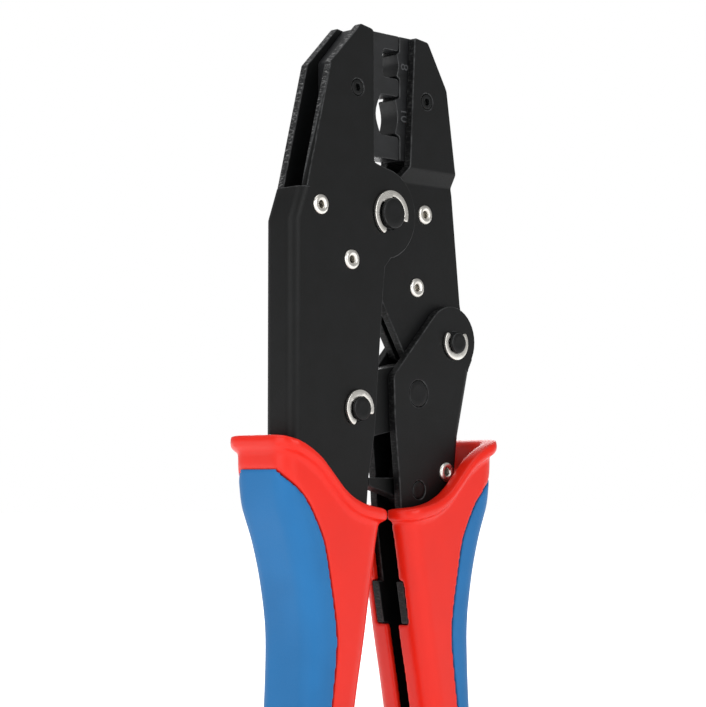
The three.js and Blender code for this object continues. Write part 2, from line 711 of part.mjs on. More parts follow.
/** A grip's outside, inset all round by the given amount. */
function gripForm(side, inset) {
  const steps = 14;
  const inner = spline(GRIP_INNER, steps).reverse();
  const outer = spline(GRIP_OUTER, steps);
  const shape = polygon(fromGrip(side, [...GRIP_ABOVE, ...outer, ...GRIP_BELOW, ...inner]));
  const round = GRIP_ROUND - inset;
  const depth = 2 * (GRIP_HALF - inset - round);
  const geometry = new THREE.ExtrudeGeometry(shape, {
    depth,
    bevelThickness: round,
    bevelSize: round,
    bevelOffset: -round - inset,
    bevelSegments: 3,
  });
  geometry.rotateX(Math.PI / 2);
  geometry.translate(0, depth / 2, 0);
  return solid(geometry);
}

/** Everything under the rim, lowered by drop, and above the flat end. */
function underRim(side, drop) {
  const rim = spline(RIM, 16).map(([s, z]) => [s, z - drop]);
  const loop = [[-10, -STAND], [70, -STAND], [70, rim[0][1]], ...rim, [-10, rim.at(-1)[1]]];
  return prism(polygon(fromGrip(side, loop)), -THROUGH, THROUGH);
}

/** Collar of the grip's mouth: a band under the rim, rounded in plan. */
function gripCollar(side) {
  const { half, round, inner, outer, band } = COLLAR;
  const plan = outline([
    [inner, -half, round], [outer, -half, round], [outer, half, round], [inner, half, round],
  ].map(([s, y, r]) => [GRIP_PLANE + side * s, y, r]));
  const geometry = new THREE.ExtrudeGeometry(plan, { depth: 60, bevelEnabled: false, curveSegments: 8 });
  geometry.translate(0, 0, RIM.at(-1)[1] - 26);
  return solid(geometry).intersect(underRim(side, 0)).subtract(underRim(side, band));
}

/** Side of a grip that the soft inlay covers, its edge moved outwards by the given gap. */
function inlaySide(side, gap) {
  const edge = spline(INLAY_EDGE, 24).map(([s, z]) => [s + gap, z]);
  const loop = [[70, INLAY_TOP - gap], ...edge, [70, INLAY_END + gap]];
  return prism(polygon(fromGrip(side, loop)), -THROUGH, THROUGH);
}

/** Room for the steel in a grip. The outer path is the steel's own folded back. */
function tangRoom(side, outer) {
  const inner = [[3.4, -40], [3.4, -60], [5.4, -83], ...TANG_INNER];
  const room = [
    ...inner.map(([s, z]) => [GRIP_PLANE + side * (s - SEAT), z]),
    [GRIP_PLANE + side * TANG_INNER.at(-1)[0], -TANG_END - SEAT],
    [GRIP_PLANE + side * TANG_OUTER.at(-1)[0], -TANG_END - SEAT],
    ...outer.map(([x, z]) => [x + side * SEAT, z]),
  ];
  return prism(polygon(room), -HALF - SEAT, HALF + SEAT);
}

/** Slot between the lips, with the window that shows the steel's tabs. */
function lipSlot(side) {
  const open = -13; // clear of the grip's inner side
  const cut = (from, to, half, low, high) => {
    const box = new THREE.BoxGeometry(to - from, 2 * half, high - low);
    box.translate(GRIP_PLANE + side * (from + to) / 2, 0, (low + high) / 2);
    return solid(box);
  };
  return unite(
    cut(open, 17, SLOT.half, -TANG_END, 0),
    cut(open, 22, SLOT.half, -TANG_END, 40 - TANG_END),
    cut(open, 13, SLOT.mouth, WINDOW.high - JOIN, 0),
    cut(open, 13, HALF + SEAT, WINDOW.low, WINDOW.high),
  );
}

function gripShell(side, webPath) {
  const upTo = webPath.filter(([, z]) => z < -50);
  const outerPath = [...upTo, [upTo.at(-1)[0], -40]];
  const pocket = inlaySide(side, 0).subtract(gripForm(side, INLAY_DEPTH + SEAT));
  const mouth = gripForm(side, MOUTH.wall).subtract(underRim(side, MOUTH.depth));
  return gripForm(side, 0)
    .intersect(underRim(side, 1))
    .subtract(pocket)
    .add(gripCollar(side))
    .subtract(mouth)
    .subtract(tangRoom(side, outerPath))
    .subtract(lipSlot(side));
}

function gripInlay(side) {
  return gripForm(side, 0)
    .intersect(inlaySide(side, SEAT))
    .subtract(gripForm(side, INLAY_DEPTH));
}

// ---------------------------------------------------------------- assembly

const DOWN_RIGHT = THREE.MathUtils.degToRad(-67);
const UP = Math.PI / 2;

const tool = new THREE.Group();
tool.add(
  mesh('frame_channel', frameChannel(), blackSteel()),
  mesh('frame_spacer', frameSpacer(), blackSteel()),
  mesh('frame_rivet_upper', tubeRivet(FRAME_RIVETS[0], HALF), plated()),
  mesh('frame_rivet_lower', tubeRivet(FRAME_RIVETS[1], HALF), plated()),
  mesh('fixed_die', fixedDie(), dieSteel()),
  mesh('fixed_die_screw', dieScrew(FIXED_SCREW), blackSteel()),
  mesh('main_pivot_pin', headedPin(MAIN_PIVOT, MAIN_PIN), blackSteel()),
  mesh('main_pivot_clip', retainingClip(MAIN_PIVOT, MAIN_PIN, DOWN_RIGHT), plated()),
  mesh('link_pin', linkPin(), blackSteel()),
  mesh('link_pin_clip', retainingClip(LINK_PIVOT, LINK_PIN, DOWN_RIGHT), plated()),
  mesh('adjuster_wheel', adjusterWheel(), plated()),
  mesh('adjuster_lock_screw', lockScrew(), plated()),
  mesh('jaw_front_plate', jawPlate(-1), blackSteel()),
  mesh('jaw_back_plate', jawPlate(1), blackSteel()),
  mesh('jaw_spacer', jawSpacer(), blackSteel()),
  mesh('jaw_rivet_upper', tubeRivet(JAW_RIVETS[0], HALF_GAP - FIT), plated()),
  mesh('jaw_rivet_lower', tubeRivet(JAW_RIVETS[1], HALF_GAP - FIT), plated()),
  mesh('moving_die', movingDie(), dieSteel()),
  mesh('moving_die_screw', dieScrew(MOVING_SCREW), blackSteel()),
  mesh('handle_channel', handleChannel(), blackSteel()),
  mesh('handle_pivot_pin', headedPin(HANDLE_PIVOT, HANDLE_PIN), blackSteel()),
  mesh('handle_pivot_clip', retainingClip(HANDLE_PIVOT, HANDLE_PIN, UP), plated()),
  mesh('toggle_rivet', flushRivet(TOGGLE_PIVOT, TOGGLE_RIVET_RADIUS), blackSteel()),
  mesh('pawl_rivet', flushRivet(PAWL_PIVOT, PAWL_RIVET_RADIUS), blackSteel()),
  mesh('spring_anchor_rivet', tubeRivet(SPRING_RIVET, HALF), plated()),
  mesh('toggle_link', toggleLink(), dieSteel()),
  mesh('ratchet_pawl', ratchetPawl(), dieSteel()),
  mesh('return_spring', tensionSpring(RETURN_EYE, LINK_EYE, RETURN_SPRING), plated()),
  mesh('pawl_spring', tensionSpring(PAWL_EYE, SPRING_RIVET, PAWL_SPRING), plated()),
  mesh('left_grip_shell', gripShell(-1, FRAME_WEB), redPlastic()),
  mesh('left_grip_inlay', gripInlay(-1), blueRubber()),
  mesh('right_grip_shell', gripShell(1, HANDLE_WEB), redPlastic()),
  mesh('right_grip_inlay', gripInlay(1), blueRubber()),
);

// Stand the tool on its grips, with the origin under the middle of its box
const box = new THREE.Box3().setFromObject(tool);
tool.position.set(-(box.min.x + box.max.x) / 2, -(box.min.y + box.max.y) / 2, -box.min.z);
tool.updateMatrixWorld(true);

export default tool;
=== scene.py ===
"""Ratchet crimping tool: finished pieces, materials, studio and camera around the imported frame."""

import math

import bmesh
import bpy
from bpy.props import FloatProperty, FloatVectorProperty, IntProperty, PointerProperty
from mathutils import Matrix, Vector
from mathutils.bvhtree import BVHTree


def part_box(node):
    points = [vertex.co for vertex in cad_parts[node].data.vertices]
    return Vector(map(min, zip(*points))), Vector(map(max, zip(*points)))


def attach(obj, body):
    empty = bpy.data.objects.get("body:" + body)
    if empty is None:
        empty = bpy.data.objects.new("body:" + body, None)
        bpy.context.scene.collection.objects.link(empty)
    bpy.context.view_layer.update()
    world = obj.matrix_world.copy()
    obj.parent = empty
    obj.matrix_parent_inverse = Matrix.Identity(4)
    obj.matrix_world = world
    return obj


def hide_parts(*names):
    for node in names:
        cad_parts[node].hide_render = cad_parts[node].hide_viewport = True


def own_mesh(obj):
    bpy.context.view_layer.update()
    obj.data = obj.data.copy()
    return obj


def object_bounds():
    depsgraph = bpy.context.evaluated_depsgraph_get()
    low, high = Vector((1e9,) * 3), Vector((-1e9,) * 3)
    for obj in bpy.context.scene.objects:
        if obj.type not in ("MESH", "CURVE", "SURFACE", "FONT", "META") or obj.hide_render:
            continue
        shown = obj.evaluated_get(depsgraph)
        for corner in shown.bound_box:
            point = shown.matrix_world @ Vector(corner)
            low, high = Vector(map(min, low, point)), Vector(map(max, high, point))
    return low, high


bl_info = {
    "name": "Ratchet Crimping Tool",
    "version": (1, 0, 0),
    "blender": (4, 5, 0),
    "location": "3D View > Sidebar > Crimping Tool",
    "description": "Builds the finished pieces of a ratchet crimping tool around its CAD frame",
    "category": "Add Mesh",
}

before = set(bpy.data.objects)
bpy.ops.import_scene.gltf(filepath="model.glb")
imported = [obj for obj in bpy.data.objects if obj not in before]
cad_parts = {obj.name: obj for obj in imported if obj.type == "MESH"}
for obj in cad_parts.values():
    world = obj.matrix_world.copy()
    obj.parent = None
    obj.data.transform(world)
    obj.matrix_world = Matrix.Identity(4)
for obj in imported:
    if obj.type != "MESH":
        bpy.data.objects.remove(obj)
CAD_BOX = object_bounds()

# ---------------------------------------------------------------- places and sizes

MM = 0.001


def node_centre(node):
    """The middle of a CAD node's box as (x, z), in metres."""
    low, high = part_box(node)
    return (low.x + high.x) / 2, (low.z + high.z) / 2


PIVOT_X, PIVOT_Z = node_centre("main_pivot_pin")


def at(x, y, z):
    """A point given in millimetres from the main pivot, in the row frame's metres."""
    return Vector((PIVOT_X + x * MM, y * MM, PIVOT_Z + z * MM))


def from_pivot(node):
    """A CAD node's middle as (x, z), in millimetres from the main pivot."""
    x, z = node_centre(node)
    return (x - PIVOT_X) / MM, (z - PIVOT_Z) / MM


HALF = 6.0  # half thickness over the outer plates
JAW_HALF = 3.35  # half thickness over the moving jaw's plates below the step
CLIP_THICKNESS = 1.0
FIT = 0.15  # running gap between faces that slide on each other
FACE = 0.02  # from a head's underside to the plate that it bears on
CLIP_FRONT = -HALF - FIT - CLIP_THICKNESS
PIN_RISE = 2.2  # how far a pin stands out of the front plate
GROOVE = 0.8  # depth of the clip groove in a pin

# Grips: s is the distance outwards from the plane midway between them, z the height from the main pivot
GRIP_PLANE = -2.4
GRIP_HALF = 11.0
GRIP_ROUND = 5.5
STAND = 177.5
TANG_END = 164.0
GRIP_OUTER = [
    (42.3, -72), (41, -82), (37.2, -92), (34.2, -103), (32.3, -116),
    (32.4, -130), (33.3, -145), (34.5, -160), (34.8, -172),
]
GRIP_INNER = [
    (3, -84), (4.9, -91), (7.6, -106), (9.7, -118), (12.9, -134), (15.5, -150), (17, -168),
]
GRIP_ABOVE = [(3.3, -56), (42.7, -56)]
GRIP_BELOW = [(34.2, -188), (16.8, -188)]
LIP_PASSES = 14  # smoothing passes that roll the lip over
LIP_FILLET = 1.4  # how far under the collar's band they reach
RIM_REACH = 49  # largest distance from the plane between the grips that the rim covers
RIM = [
    (48, -62.1), (43, -62.7), (36.4, -65), (30.5, -68.4), (25.6, -73),
    (20.4, -77.9), (14.6, -80.9), (7, -82.4), (-3, -83.2),
]
INLAY_EDGE = [
    (46, -71.5), (42.3, -71.7), (41.4, -72.8), (39.7, -74.8), (36.5, -77.7), (33.3, -81.2), (30.9, -85),
    (28.5, -89.4), (26.8, -94.4), (24.8, -104), (23.1, -114), (22.9, -121), (24.2, -132), (26.2, -146),
    (28, -158), (31, -168), (38, -172.5),
]
INLAY_TOP = -71.5
INLAY_END = -172.5
INLAY_DEPTH = 2.0
COLLAR = {"half": 13.4, "round": 7.0, "inner": 2.0, "outer": 43.9, "band": 3.6}
COLLAR_OVERHANG = 1.2  # height of the collar above the end of the grip's form
MOUTH_WALL = 3.0
MOUTH_DEPTH = 8.0
SLOT_HALF = 2.3
SLOT_MOUTH = 4.8  # half width of the slot above the window
SLOT_OPEN = -13  # clear of the grip's inner side
SLOT_STEP = 40  # the slot is cut further out along this much of the tang's end
WINDOW_HIGH = -103.0
WINDOW_LOW = -115.5
BLOCK = 30  # half thickness of a shape that cuts through a whole grip
SEAT = 0.3  # gap around the steel inside a grip
TANG_INNER = [
    (3.1, -40), (3.1, -60), (5.1, -83), (7.2, -88), (9.9, -106), (12, -118), (15.2, -134),
    (17.8, -150), (19.2, -TANG_END),
]
TANG_OUTER = [(28.5, -TANG_END), (27.3, -116), (30.0, -100), (34.8, -82), (34.8, -40)]


# ---------------------------------------------------------------- colours and materials


def linear(code):
    """An sRGB hex colour as linear red, green and blue."""
    channels = [int(code[i:i + 2], 16) / 255 for i in (1, 3, 5)]
    return tuple(c / 12.92 if c <= 0.04045 else ((c + 0.055) / 1.055) ** 2.4 for c in channels)


def opaque(colour):
    """A colour with a full alpha, as sockets want it."""
    return (*colour[:3], 1.0)


def add(tree, kind, settings=None, inputs=None):
    """Adds a shader node with its settings, and its inputs as values or as sockets that feed them."""
    made = tree.nodes.new("ShaderNode" + kind)
    for key, value in (settings or {}).items():
        setattr(made, key, value)
    for key, value in (inputs or {}).items():
        if isinstance(value, bpy.types.NodeSocket):
            tree.links.new(value, made.inputs[key])
        else:
            made.inputs[key].default_value = value
    return made


def new_material(name):
    """An empty node material: its tree, its Principled shader and its object coordinates."""
    material = bpy.data.materials.new(name)
    material.use_nodes = True
    tree = material.node_tree
    tree.nodes.clear()
    shader = add(tree, "BsdfPrincipled")
    add(tree, "OutputMaterial", inputs={"Surface": shader.outputs["BSDF"]})
    place = add(tree, "TexCoord").outputs["Object"]
    return material, tree, shader, place


# The Mix node's colour sockets share their names with others, so they are reached by number
COLOURS = {"data_type": "RGBA"}
COLOUR_A, COLOUR_B, COLOUR_OUT = 6, 7, 2
NOISE_ROUGHNESS = 0.55


def per_mm(size):
    """The noise scale whose lumps are about size millimetres."""
    return 1 / (size * MM)


def black_oxide_steel():
    """Blackened sheet steel: satin, faintly clouded faces, grainy sheared edges, and rims rubbed grey. The
    sheared edges carry a painted highlight where they face up and painted shade on inner edges.
    """
    look = bpy.context.scene.crimper_steel
    material, tree, shader, place = new_material("black_oxide_steel")
    cloud = add(tree, "TexNoise", inputs={
        "Vector": place, "Scale": per_mm(7.0), "Detail": 3.0, "Roughness": NOISE_ROUGHNESS,
    }).outputs["Fac"]
    fine = add(tree, "TexNoise", inputs={
        "Vector": place, "Scale": per_mm(0.35), "Detail": 3.0, "Roughness": NOISE_ROUGHNESS,
    }).outputs["Fac"]
    clouded = add(tree, "MapRange", inputs={"Value": cloud, "From Min": 0.35, "From Max": 0.65})
    face = add(tree, "Mix", COLOURS, {
        0: clouded.outputs["Result"], COLOUR_A: opaque(look.face_dark), COLOUR_B: opaque(look.face_light),
    }).outputs[COLOUR_OUT]
    # The shear leaves streaks across the sheet's thickness, so the noise is stretched along Y
    along = add(tree, "Mapping", inputs={"Vector": place, "Scale": (1.0, 0.3, 1.0)}).outputs["Vector"]
    streaks = add(tree, "TexNoise", inputs={
        "Vector": along, "Scale": per_mm(0.45), "Detail": 4.0, "Roughness": NOISE_ROUGHNESS,
    }).outputs["Fac"]
    flecked = add(tree, "MapRange", inputs={"Value": streaks, "From Min": 0.5, "From Max": 0.72})
    sheared = add(tree, "Mix", COLOURS, {
        0: flecked.outputs["Result"], COLOUR_A: opaque(look.cut_dark), COLOUR_B: opaque(look.cut_light),
    }).outputs[COLOUR_OUT]
    cut = add(tree, "Attribute", {"attribute_name": "cut"}).outputs["Fac"]
    rim = add(tree, "Attribute", {"attribute_name": "rim"}).outputs["Fac"]
    # The cut level mixes in the sheared colour: bare on outer edges, with a painted highlight where they
    # face up and painted shade on inner edges
    faces = add(tree, "Mix", COLOURS, {0: cut, COLOUR_A: face, COLOUR_B: sheared}).outputs[COLOUR_OUT]
    patches = add(tree, "TexNoise", inputs={
        "Vector": place, "Scale": per_mm(1.8), "Detail": 4.0, "Roughness": NOISE_ROUGHNESS,
    }).outputs["Fac"]
    rubbed = add(tree, "MapRange", inputs={
        "Value": patches, "From Min": 0.38, "From Max": 0.62, "To Min": 0.15, "To Max": 1.0,
    }).outputs["Result"]
    wear = add(tree, "Math", {"operation": "MULTIPLY"}, {0: rim, 1: rubbed}).outputs[0]
    colour = add(tree, "Mix", COLOURS, {0: wear, COLOUR_A: faces, COLOUR_B: opaque(look.rubbed)})
    tree.links.new(colour.outputs[COLOUR_OUT], shader.inputs["Base Color"])
    shader.inputs["Specular IOR Level"].default_value = 0.24
    satin = add(tree, "MapRange", inputs={
        "Value": fine, "From Min": 0.3, "From Max": 0.7, "To Min": 0.4, "To Max": 0.56,
    })
    tree.links.new(satin.outputs["Result"], shader.inputs["Roughness"])
    rough = add(tree, "Math", {"operation": "MULTIPLY_ADD"}, {0: streaks, 1: cut, 2: fine}).outputs[0]
    bump = add(tree, "Bump", inputs={"Height": rough, "Distance": 0.035 * MM, "Strength": 0.5})
    tree.links.new(bump.outputs["Normal"], shader.inputs["Normal"])
    return material


def ground_die_steel():
    """Hardened die steel, ground and then blackened: fine parallel grinding marks and soft grey rims."""
    look = bpy.context.scene.crimper_steel
    material, tree, shader, place = new_material("ground_die_steel")
    along = add(tree, "Mapping", inputs={"Vector": place, "Scale": (0.08, 1.0, 1.0)}).outputs["Vector"]
    lines = add(tree, "TexNoise", inputs={
        "Vector": along, "Scale": per_mm(0.5), "Detail": 4.0, "Roughness": NOISE_ROUGHNESS,
    }).outputs["Fac"]
    cloud = add(tree, "TexNoise", inputs={
        "Vector": place, "Scale": per_mm(5.0), "Detail": 2.0, "Roughness": NOISE_ROUGHNESS,
    }).outputs["Fac"]
    clouded = add(tree, "MapRange", inputs={"Value": cloud, "From Min": 0.35, "From Max": 0.65})
    face = add(tree, "Mix", COLOURS, {
        0: clouded.outputs["Result"], COLOUR_A: opaque(look.die_dark), COLOUR_B: opaque(look.die_light),
    }).outputs[COLOUR_OUT]
    rim = add(tree, "Attribute", {"attribute_name": "rim"}).outputs["Fac"]
    patches = add(tree, "TexNoise", inputs={
        "Vector": place, "Scale": per_mm(1.4), "Detail": 3.0, "Roughness": NOISE_ROUGHNESS,
    }).outputs["Fac"]
    worn = add(tree, "MapRange", inputs={
        "Value": patches, "From Min": 0.4, "From Max": 0.6, "To Min": 0.2, "To Max": 1.0,
    }).outputs["Result"]
    wear = add(tree, "Math", {"operation": "MULTIPLY"}, {0: rim, 1: worn}).outputs[0]
    colour = add(tree, "Mix", COLOURS, {0: wear, COLOUR_A: face, COLOUR_B: opaque(look.rubbed)})
    tree.links.new(colour.outputs[COLOUR_OUT], shader.inputs["Base Color"])
    shader.inputs["Specular IOR Level"].default_value = 0.45
    ground = add(tree, "MapRange", inputs={
        "Value": lines, "From Min": 0.3, "From Max": 0.7, "To Min": 0.34, "To Max": 0.5,
    })
    tree.links.new(ground.outputs["Result"], shader.inputs["Roughness"])
    bump = add(tree, "Bump", inputs={"Height": lines, "Distance": 0.03 * MM, "Strength": 0.5})
    tree.links.new(bump.outputs["Normal"], shader.inputs["Normal"])
    return material


def laser_marked_steel():
    """Steel bared and annealed by a marking laser: a flat mid grey."""
    material, tree, shader, place = new_material("laser_marked_steel")
    burnt = add(tree, "TexNoise", inputs={
        "Vector": place, "Scale": per_mm(0.3), "Detail": 2.0, "Roughness": NOISE_ROUGHNESS,
    }).outputs["Fac"]
    dark, light = opaque(linear("#303133")), opaque(linear("#505153"))
    colour = add(tree, "Mix", COLOURS, {0: burnt, COLOUR_A: dark, COLOUR_B: light})
    tree.links.new(colour.outputs[COLOUR_OUT], shader.inputs["Base Color"])
    shader.inputs["Roughness"].default_value = 0.7
    return material


def bright_nickel():
    """Nickel-plated steel: a warm bright metal with faint tumbling marks."""
    look = bpy.context.scene.crimper_plating
    material, tree, shader, place = new_material("bright_nickel_plate")
    # Tumbling marks are finer than this; they are drawn coarser so that they show
    marks = add(tree, "TexNoise", inputs={
        "Vector": place, "Scale": per_mm(2.2), "Detail": 3.0, "Roughness": NOISE_ROUGHNESS,
    }).outputs["Fac"]
    tumbled = add(tree, "MapRange", inputs={"Value": marks, "From Min": 0.3, "From Max": 0.7})
    colour = add(tree, "Mix", COLOURS, {
        0: tumbled.outputs["Result"], COLOUR_A: opaque(look.dull), COLOUR_B: opaque(look.bright),
    })
    tree.links.new(colour.outputs[COLOUR_OUT], shader.inputs["Base Color"])
    shader.inputs["Metallic"].default_value = 1.0
    polish = add(tree, "MapRange", inputs={
        "Value": marks, "From Min": 0.3, "From Max": 0.7, "To Min": 0.36, "To Max": 0.22,
    })
    tree.links.new(polish.outputs["Result"], shader.inputs["Roughness"])
    fine = add(tree, "TexNoise", inputs={
        "Vector": place, "Scale": per_mm(0.3), "Detail": 3.0, "Roughness": NOISE_ROUGHNESS,
    }).outputs["Fac"]
    bump = add(tree, "Bump", inputs={"Height": fine, "Distance": 0.006 * MM, "Strength": 0.4})
    tree.links.new(bump.outputs["Normal"], shader.inputs["Normal"])
    return material


def moulded_plastic():
    """Injection-moulded polypropylene: an even red with a fine spark-eroded grain."""
    look = bpy.context.scene.crimper_grips
    material, tree, shader, place = new_material("red_moulded_plastic")
    # The real grain is about 0.1 mm; 0.5 mm is the finest that still shows
    skin = add(tree, "TexNoise", inputs={
        "Vector": place, "Scale": per_mm(0.5), "Detail": 3.0, "Roughness": NOISE_ROUGHNESS,
    }).outputs["Fac"]
    cloud = add(tree, "TexNoise", inputs={
        "Vector": place, "Scale": per_mm(18.0), "Detail": 2.0, "Roughness": NOISE_ROUGHNESS,
    }).outputs["Fac"]
    flowed = add(tree, "MapRange", inputs={"Value": cloud, "From Min": 0.3, "From Max": 0.7})
    colour = add(tree, "Mix", COLOURS, {
        0: flowed.outputs["Result"], COLOUR_A: opaque(look.red_shade), COLOUR_B: opaque(look.red),
    })
    tree.links.new(colour.outputs[COLOUR_OUT], shader.inputs["Base Color"])
    matt = add(tree, "MapRange", inputs={
        "Value": skin, "From Min": 0.3, "From Max": 0.7, "To Min": 0.29, "To Max": 0.42,
    })
    tree.links.new(matt.outputs["Result"], shader.inputs["Roughness"])
    shader.inputs["Specular IOR Level"].default_value = 0.35
    bump = add(tree, "Bump", inputs={"Height": skin, "Distance": 0.03 * MM, "Strength": 0.45})
    tree.links.new(bump.outputs["Normal"], shader.inputs["Normal"])
    return material


def soft_elastomer():
    """Thermoplastic rubber over the plastic: softer highlights, a little sheen at grazing angles."""
    look = bpy.context.scene.crimper_grips
    material, tree, shader, place = new_material("blue_soft_elastomer")
    skin = add(tree, "TexNoise", inputs={
        "Vector": place, "Scale": per_mm(0.4), "Detail": 3.0, "Roughness": NOISE_ROUGHNESS,
    }).outputs["Fac"]
    cloud = add(tree, "TexNoise", inputs={
        "Vector": place, "Scale": per_mm(22.0), "Detail": 2.0, "Roughness": NOISE_ROUGHNESS,
    }).outputs["Fac"]
    flowed = add(tree, "MapRange", inputs={"Value": cloud, "From Min": 0.3, "From Max": 0.7})
    colour = add(tree, "Mix", COLOURS, {
        0: flowed.outputs["Result"], COLOUR_A: opaque(look.blue_shade), COLOUR_B: opaque(look.blue),
    })
    tree.links.new(colour.outputs[COLOUR_OUT], shader.inputs["Base Color"])
    matt = add(tree, "MapRange", inputs={
        "Value": skin, "From Min": 0.3, "From Max": 0.7, "To Min": 0.5, "To Max": 0.64,
    })
    tree.links.new(matt.outputs["Result"], shader.inputs["Roughness"])
    shader.inputs["Specular IOR Level"].default_value = 0.35
    shader.inputs["Sheen Weight"].default_value = 0.1
    shader.inputs["Sheen Roughness"].default_value = 0.4
    bump = add(tree, "Bump", inputs={"Height": skin, "Distance": 0.035 * MM, "Strength": 0.5})
    tree.links.new(bump.outputs["Normal"], shader.inputs["Normal"])
    return material


def spring_wire():
    """Drawn spring steel wire: grey, with a soft shine and fine draw marks."""
    material, tree, shader, place = new_material("spring_wire")
    marks = add(tree, "TexNoise", inputs={
        "Vector": place, "Scale": per_mm(0.4), "Detail": 3.0, "Roughness": NOISE_ROUGHNESS,
    }).outputs["Fac"]
    drawn = add(tree, "MapRange", inputs={"Value": marks, "From Min": 0.3, "From Max": 0.7})
    dark, light = opaque(linear("#77787A")), opaque(linear("#A9AAAC"))
    colour = add(tree, "Mix", COLOURS, {0: drawn.outputs["Result"], COLOUR_A: dark, COLOUR_B: light})
    tree.links.new(colour.outputs[COLOUR_OUT], shader.inputs["Base Color"])
    shader.inputs["Metallic"].default_value = 1.0
    shader.inputs["Roughness"].default_value = 0.32
    bump = add(tree, "Bump", inputs={"Height": marks, "Distance": 0.01 * MM, "Strength": 0.4})
    tree.links.new(bump.outputs["Normal"], shader.inputs["Normal"])
    return material


MAKERS = {
    "steel": black_oxide_steel, "die": ground_die_steel, "mark": laser_marked_steel,
    "nickel": bright_nickel, "wire": spring_wire, "red": moulded_plastic, "blue": soft_elastomer,
}
finishes_made = {}


def finish_of(key):
    """The material of that key, made the first time it is asked for."""
    if key not in finishes_made:
        finishes_made[key] = MAKERS[key]()
    return finishes_made[key]


# ---------------------------------------------------------------- mesh helpers


def copied(node):
    """A CAD node's mesh with its triangles merged back into flat faces."""
    bm = bmesh.new()
    bm.from_mesh(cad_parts[node].data)
    bmesh.ops.remove_doubles(bm, verts=bm.verts, dist=0.03 * MM)
    bmesh.ops.dissolve_degenerate(bm, edges=bm.edges, dist=0.03 * MM)
    bmesh.ops.dissolve_limit(bm, angle_limit=math.radians(1.0), verts=bm.verts, edges=bm.edges)
    return bm


def flat_outline(corners, y=0.0, steps=6):
    """A bmesh of one flat face through (x, z, corner radius) points, millimetres from the main pivot."""
    bm = bmesh.new()
    verts = [bm.verts.new(at(c[0], y, c[1])) for c in corners]
    bm.faces.new(verts)
    rounded = [(v, c[2] * MM) for v, c in zip(verts, corners) if len(c) > 2 and c[2] > 0]
    for vert, radius in rounded:
        one, other = (edge.other_vert(vert).co - vert.co for edge in vert.link_edges)
        reach = min(radius / math.tan(one.angle(other) / 2), 0.48 * one.length, 0.48 * other.length)
        bmesh.ops.bevel(bm, geom=[vert], offset=reach, offset_type="OFFSET", affect="VERTICES",
                        segments=steps, profile=0.5, material=-1)
    bm.normal_update()
    return bm


def thickened(bm, depth):
    """Extrudes a flat face to a solid, depth millimetres towards the back."""
    made = bmesh.ops.extrude_face_region(bm, geom=bm.faces[:])
    moved = [g for g in made["geom"] if isinstance(g, bmesh.types.BMVert)]
    bmesh.ops.translate(bm, verts=moved, vec=(0, depth * MM, 0))
    bmesh.ops.recalc_face_normals(bm, faces=bm.faces)
    return bm


def turned(profile, centre, steps=64, closed=False):
    """A (radius, y) profile turned about the front-to-back axis through centre, all in millimetres."""
    bm = bmesh.new()
    x, z = centre
    verts = [bm.verts.new(at(x + radius, y, z)) for radius, y in profile]
    pairs = list(zip(verts, verts[1:])) + ([(verts[-1], verts[0])] if closed else [])
    edges = [bm.edges.new(pair) for pair in pairs]
    bmesh.ops.spin(bm, geom=verts + edges, cent=at(x, 0, z), axis=(0, 1, 0), dvec=(0, 0, 0),
                   angle=2 * math.pi, steps=steps, use_merge=True)
    bmesh.ops.remove_doubles(bm, verts=bm.verts, dist=1e-6)
    bmesh.ops.recalc_face_normals(bm, faces=bm.faces)
    return bm


def soften(bm, width, segments=2, angle=35):
    """Rounds every edge that turns by more than angle, and marks the new faces as rims.

    A corner that the rounding throws off the surface is brought back to it.
    """
    surface = BVHTree.FromBMesh(bm)
    rim = bm.faces.layers.float.new("rim")
    limit = math.radians(angle)
    edges = [e for e in bm.edges if len(e.link_faces) == 2 and e.calc_face_angle(0) > limit]
    made = bmesh.ops.bevel(bm, geom=edges, offset=width * MM, offset_type="OFFSET", affect="EDGES",
                           segments=segments, profile=0.5, material=-1)
    for face in made["faces"]:
        face[rim] = 1.0
    for vert in bm.verts:
        nearest, _, _, gap = surface.find_nearest(vert.co)
        if gap > width * MM:
            vert.co = nearest
    return bm


SHEET_SPAN = 2.2  # a sheared face reaches at least this far across the sheet
# Levels of the sheared colour: bare steel on outer edges, a painted highlight added where they face up, and
# a low level of painted shade on inner edges
BARE_OUTER, PAINTED_HIGHLIGHT_UPWARD, PAINTED_SHADE_INNER = 0.6, 0.4, 0.15


def mark_cuts(bm):
    """Marks the sheared faces, which stand across the sheet. A web between two plates stays plain.

    Outer edges are bare sheared steel, painted brighter still where they face up as a painted highlight of
    light from above; inner edges are painted dark as painted shade between the parts.
    """
    cut = bm.faces.layers.float.new("cut")
    middle = at(0, 0, 0)
    for face in bm.faces:
        depths = [vert.co.y for vert in face.verts]
        is_web = min(depths) < -MM and max(depths) > MM and abs(face.normal.x) > 0.5
        spans_sheet = max(depths) - min(depths) > SHEET_SPAN * MM
        if abs(face.normal.y) < 0.1 and spans_sheet and not is_web:
            away = face.calc_center_median() - middle
            outer = face.normal.x * away.x > 0
            upward = min(max(2 * face.normal.z, 0), 1)
            # Painted highlight on outer edges that face up, painted shade on inner edges
            face[cut] = BARE_OUTER + PAINTED_HIGHLIGHT_UPWARD * upward if outer else PAINTED_SHADE_INNER
    return bm


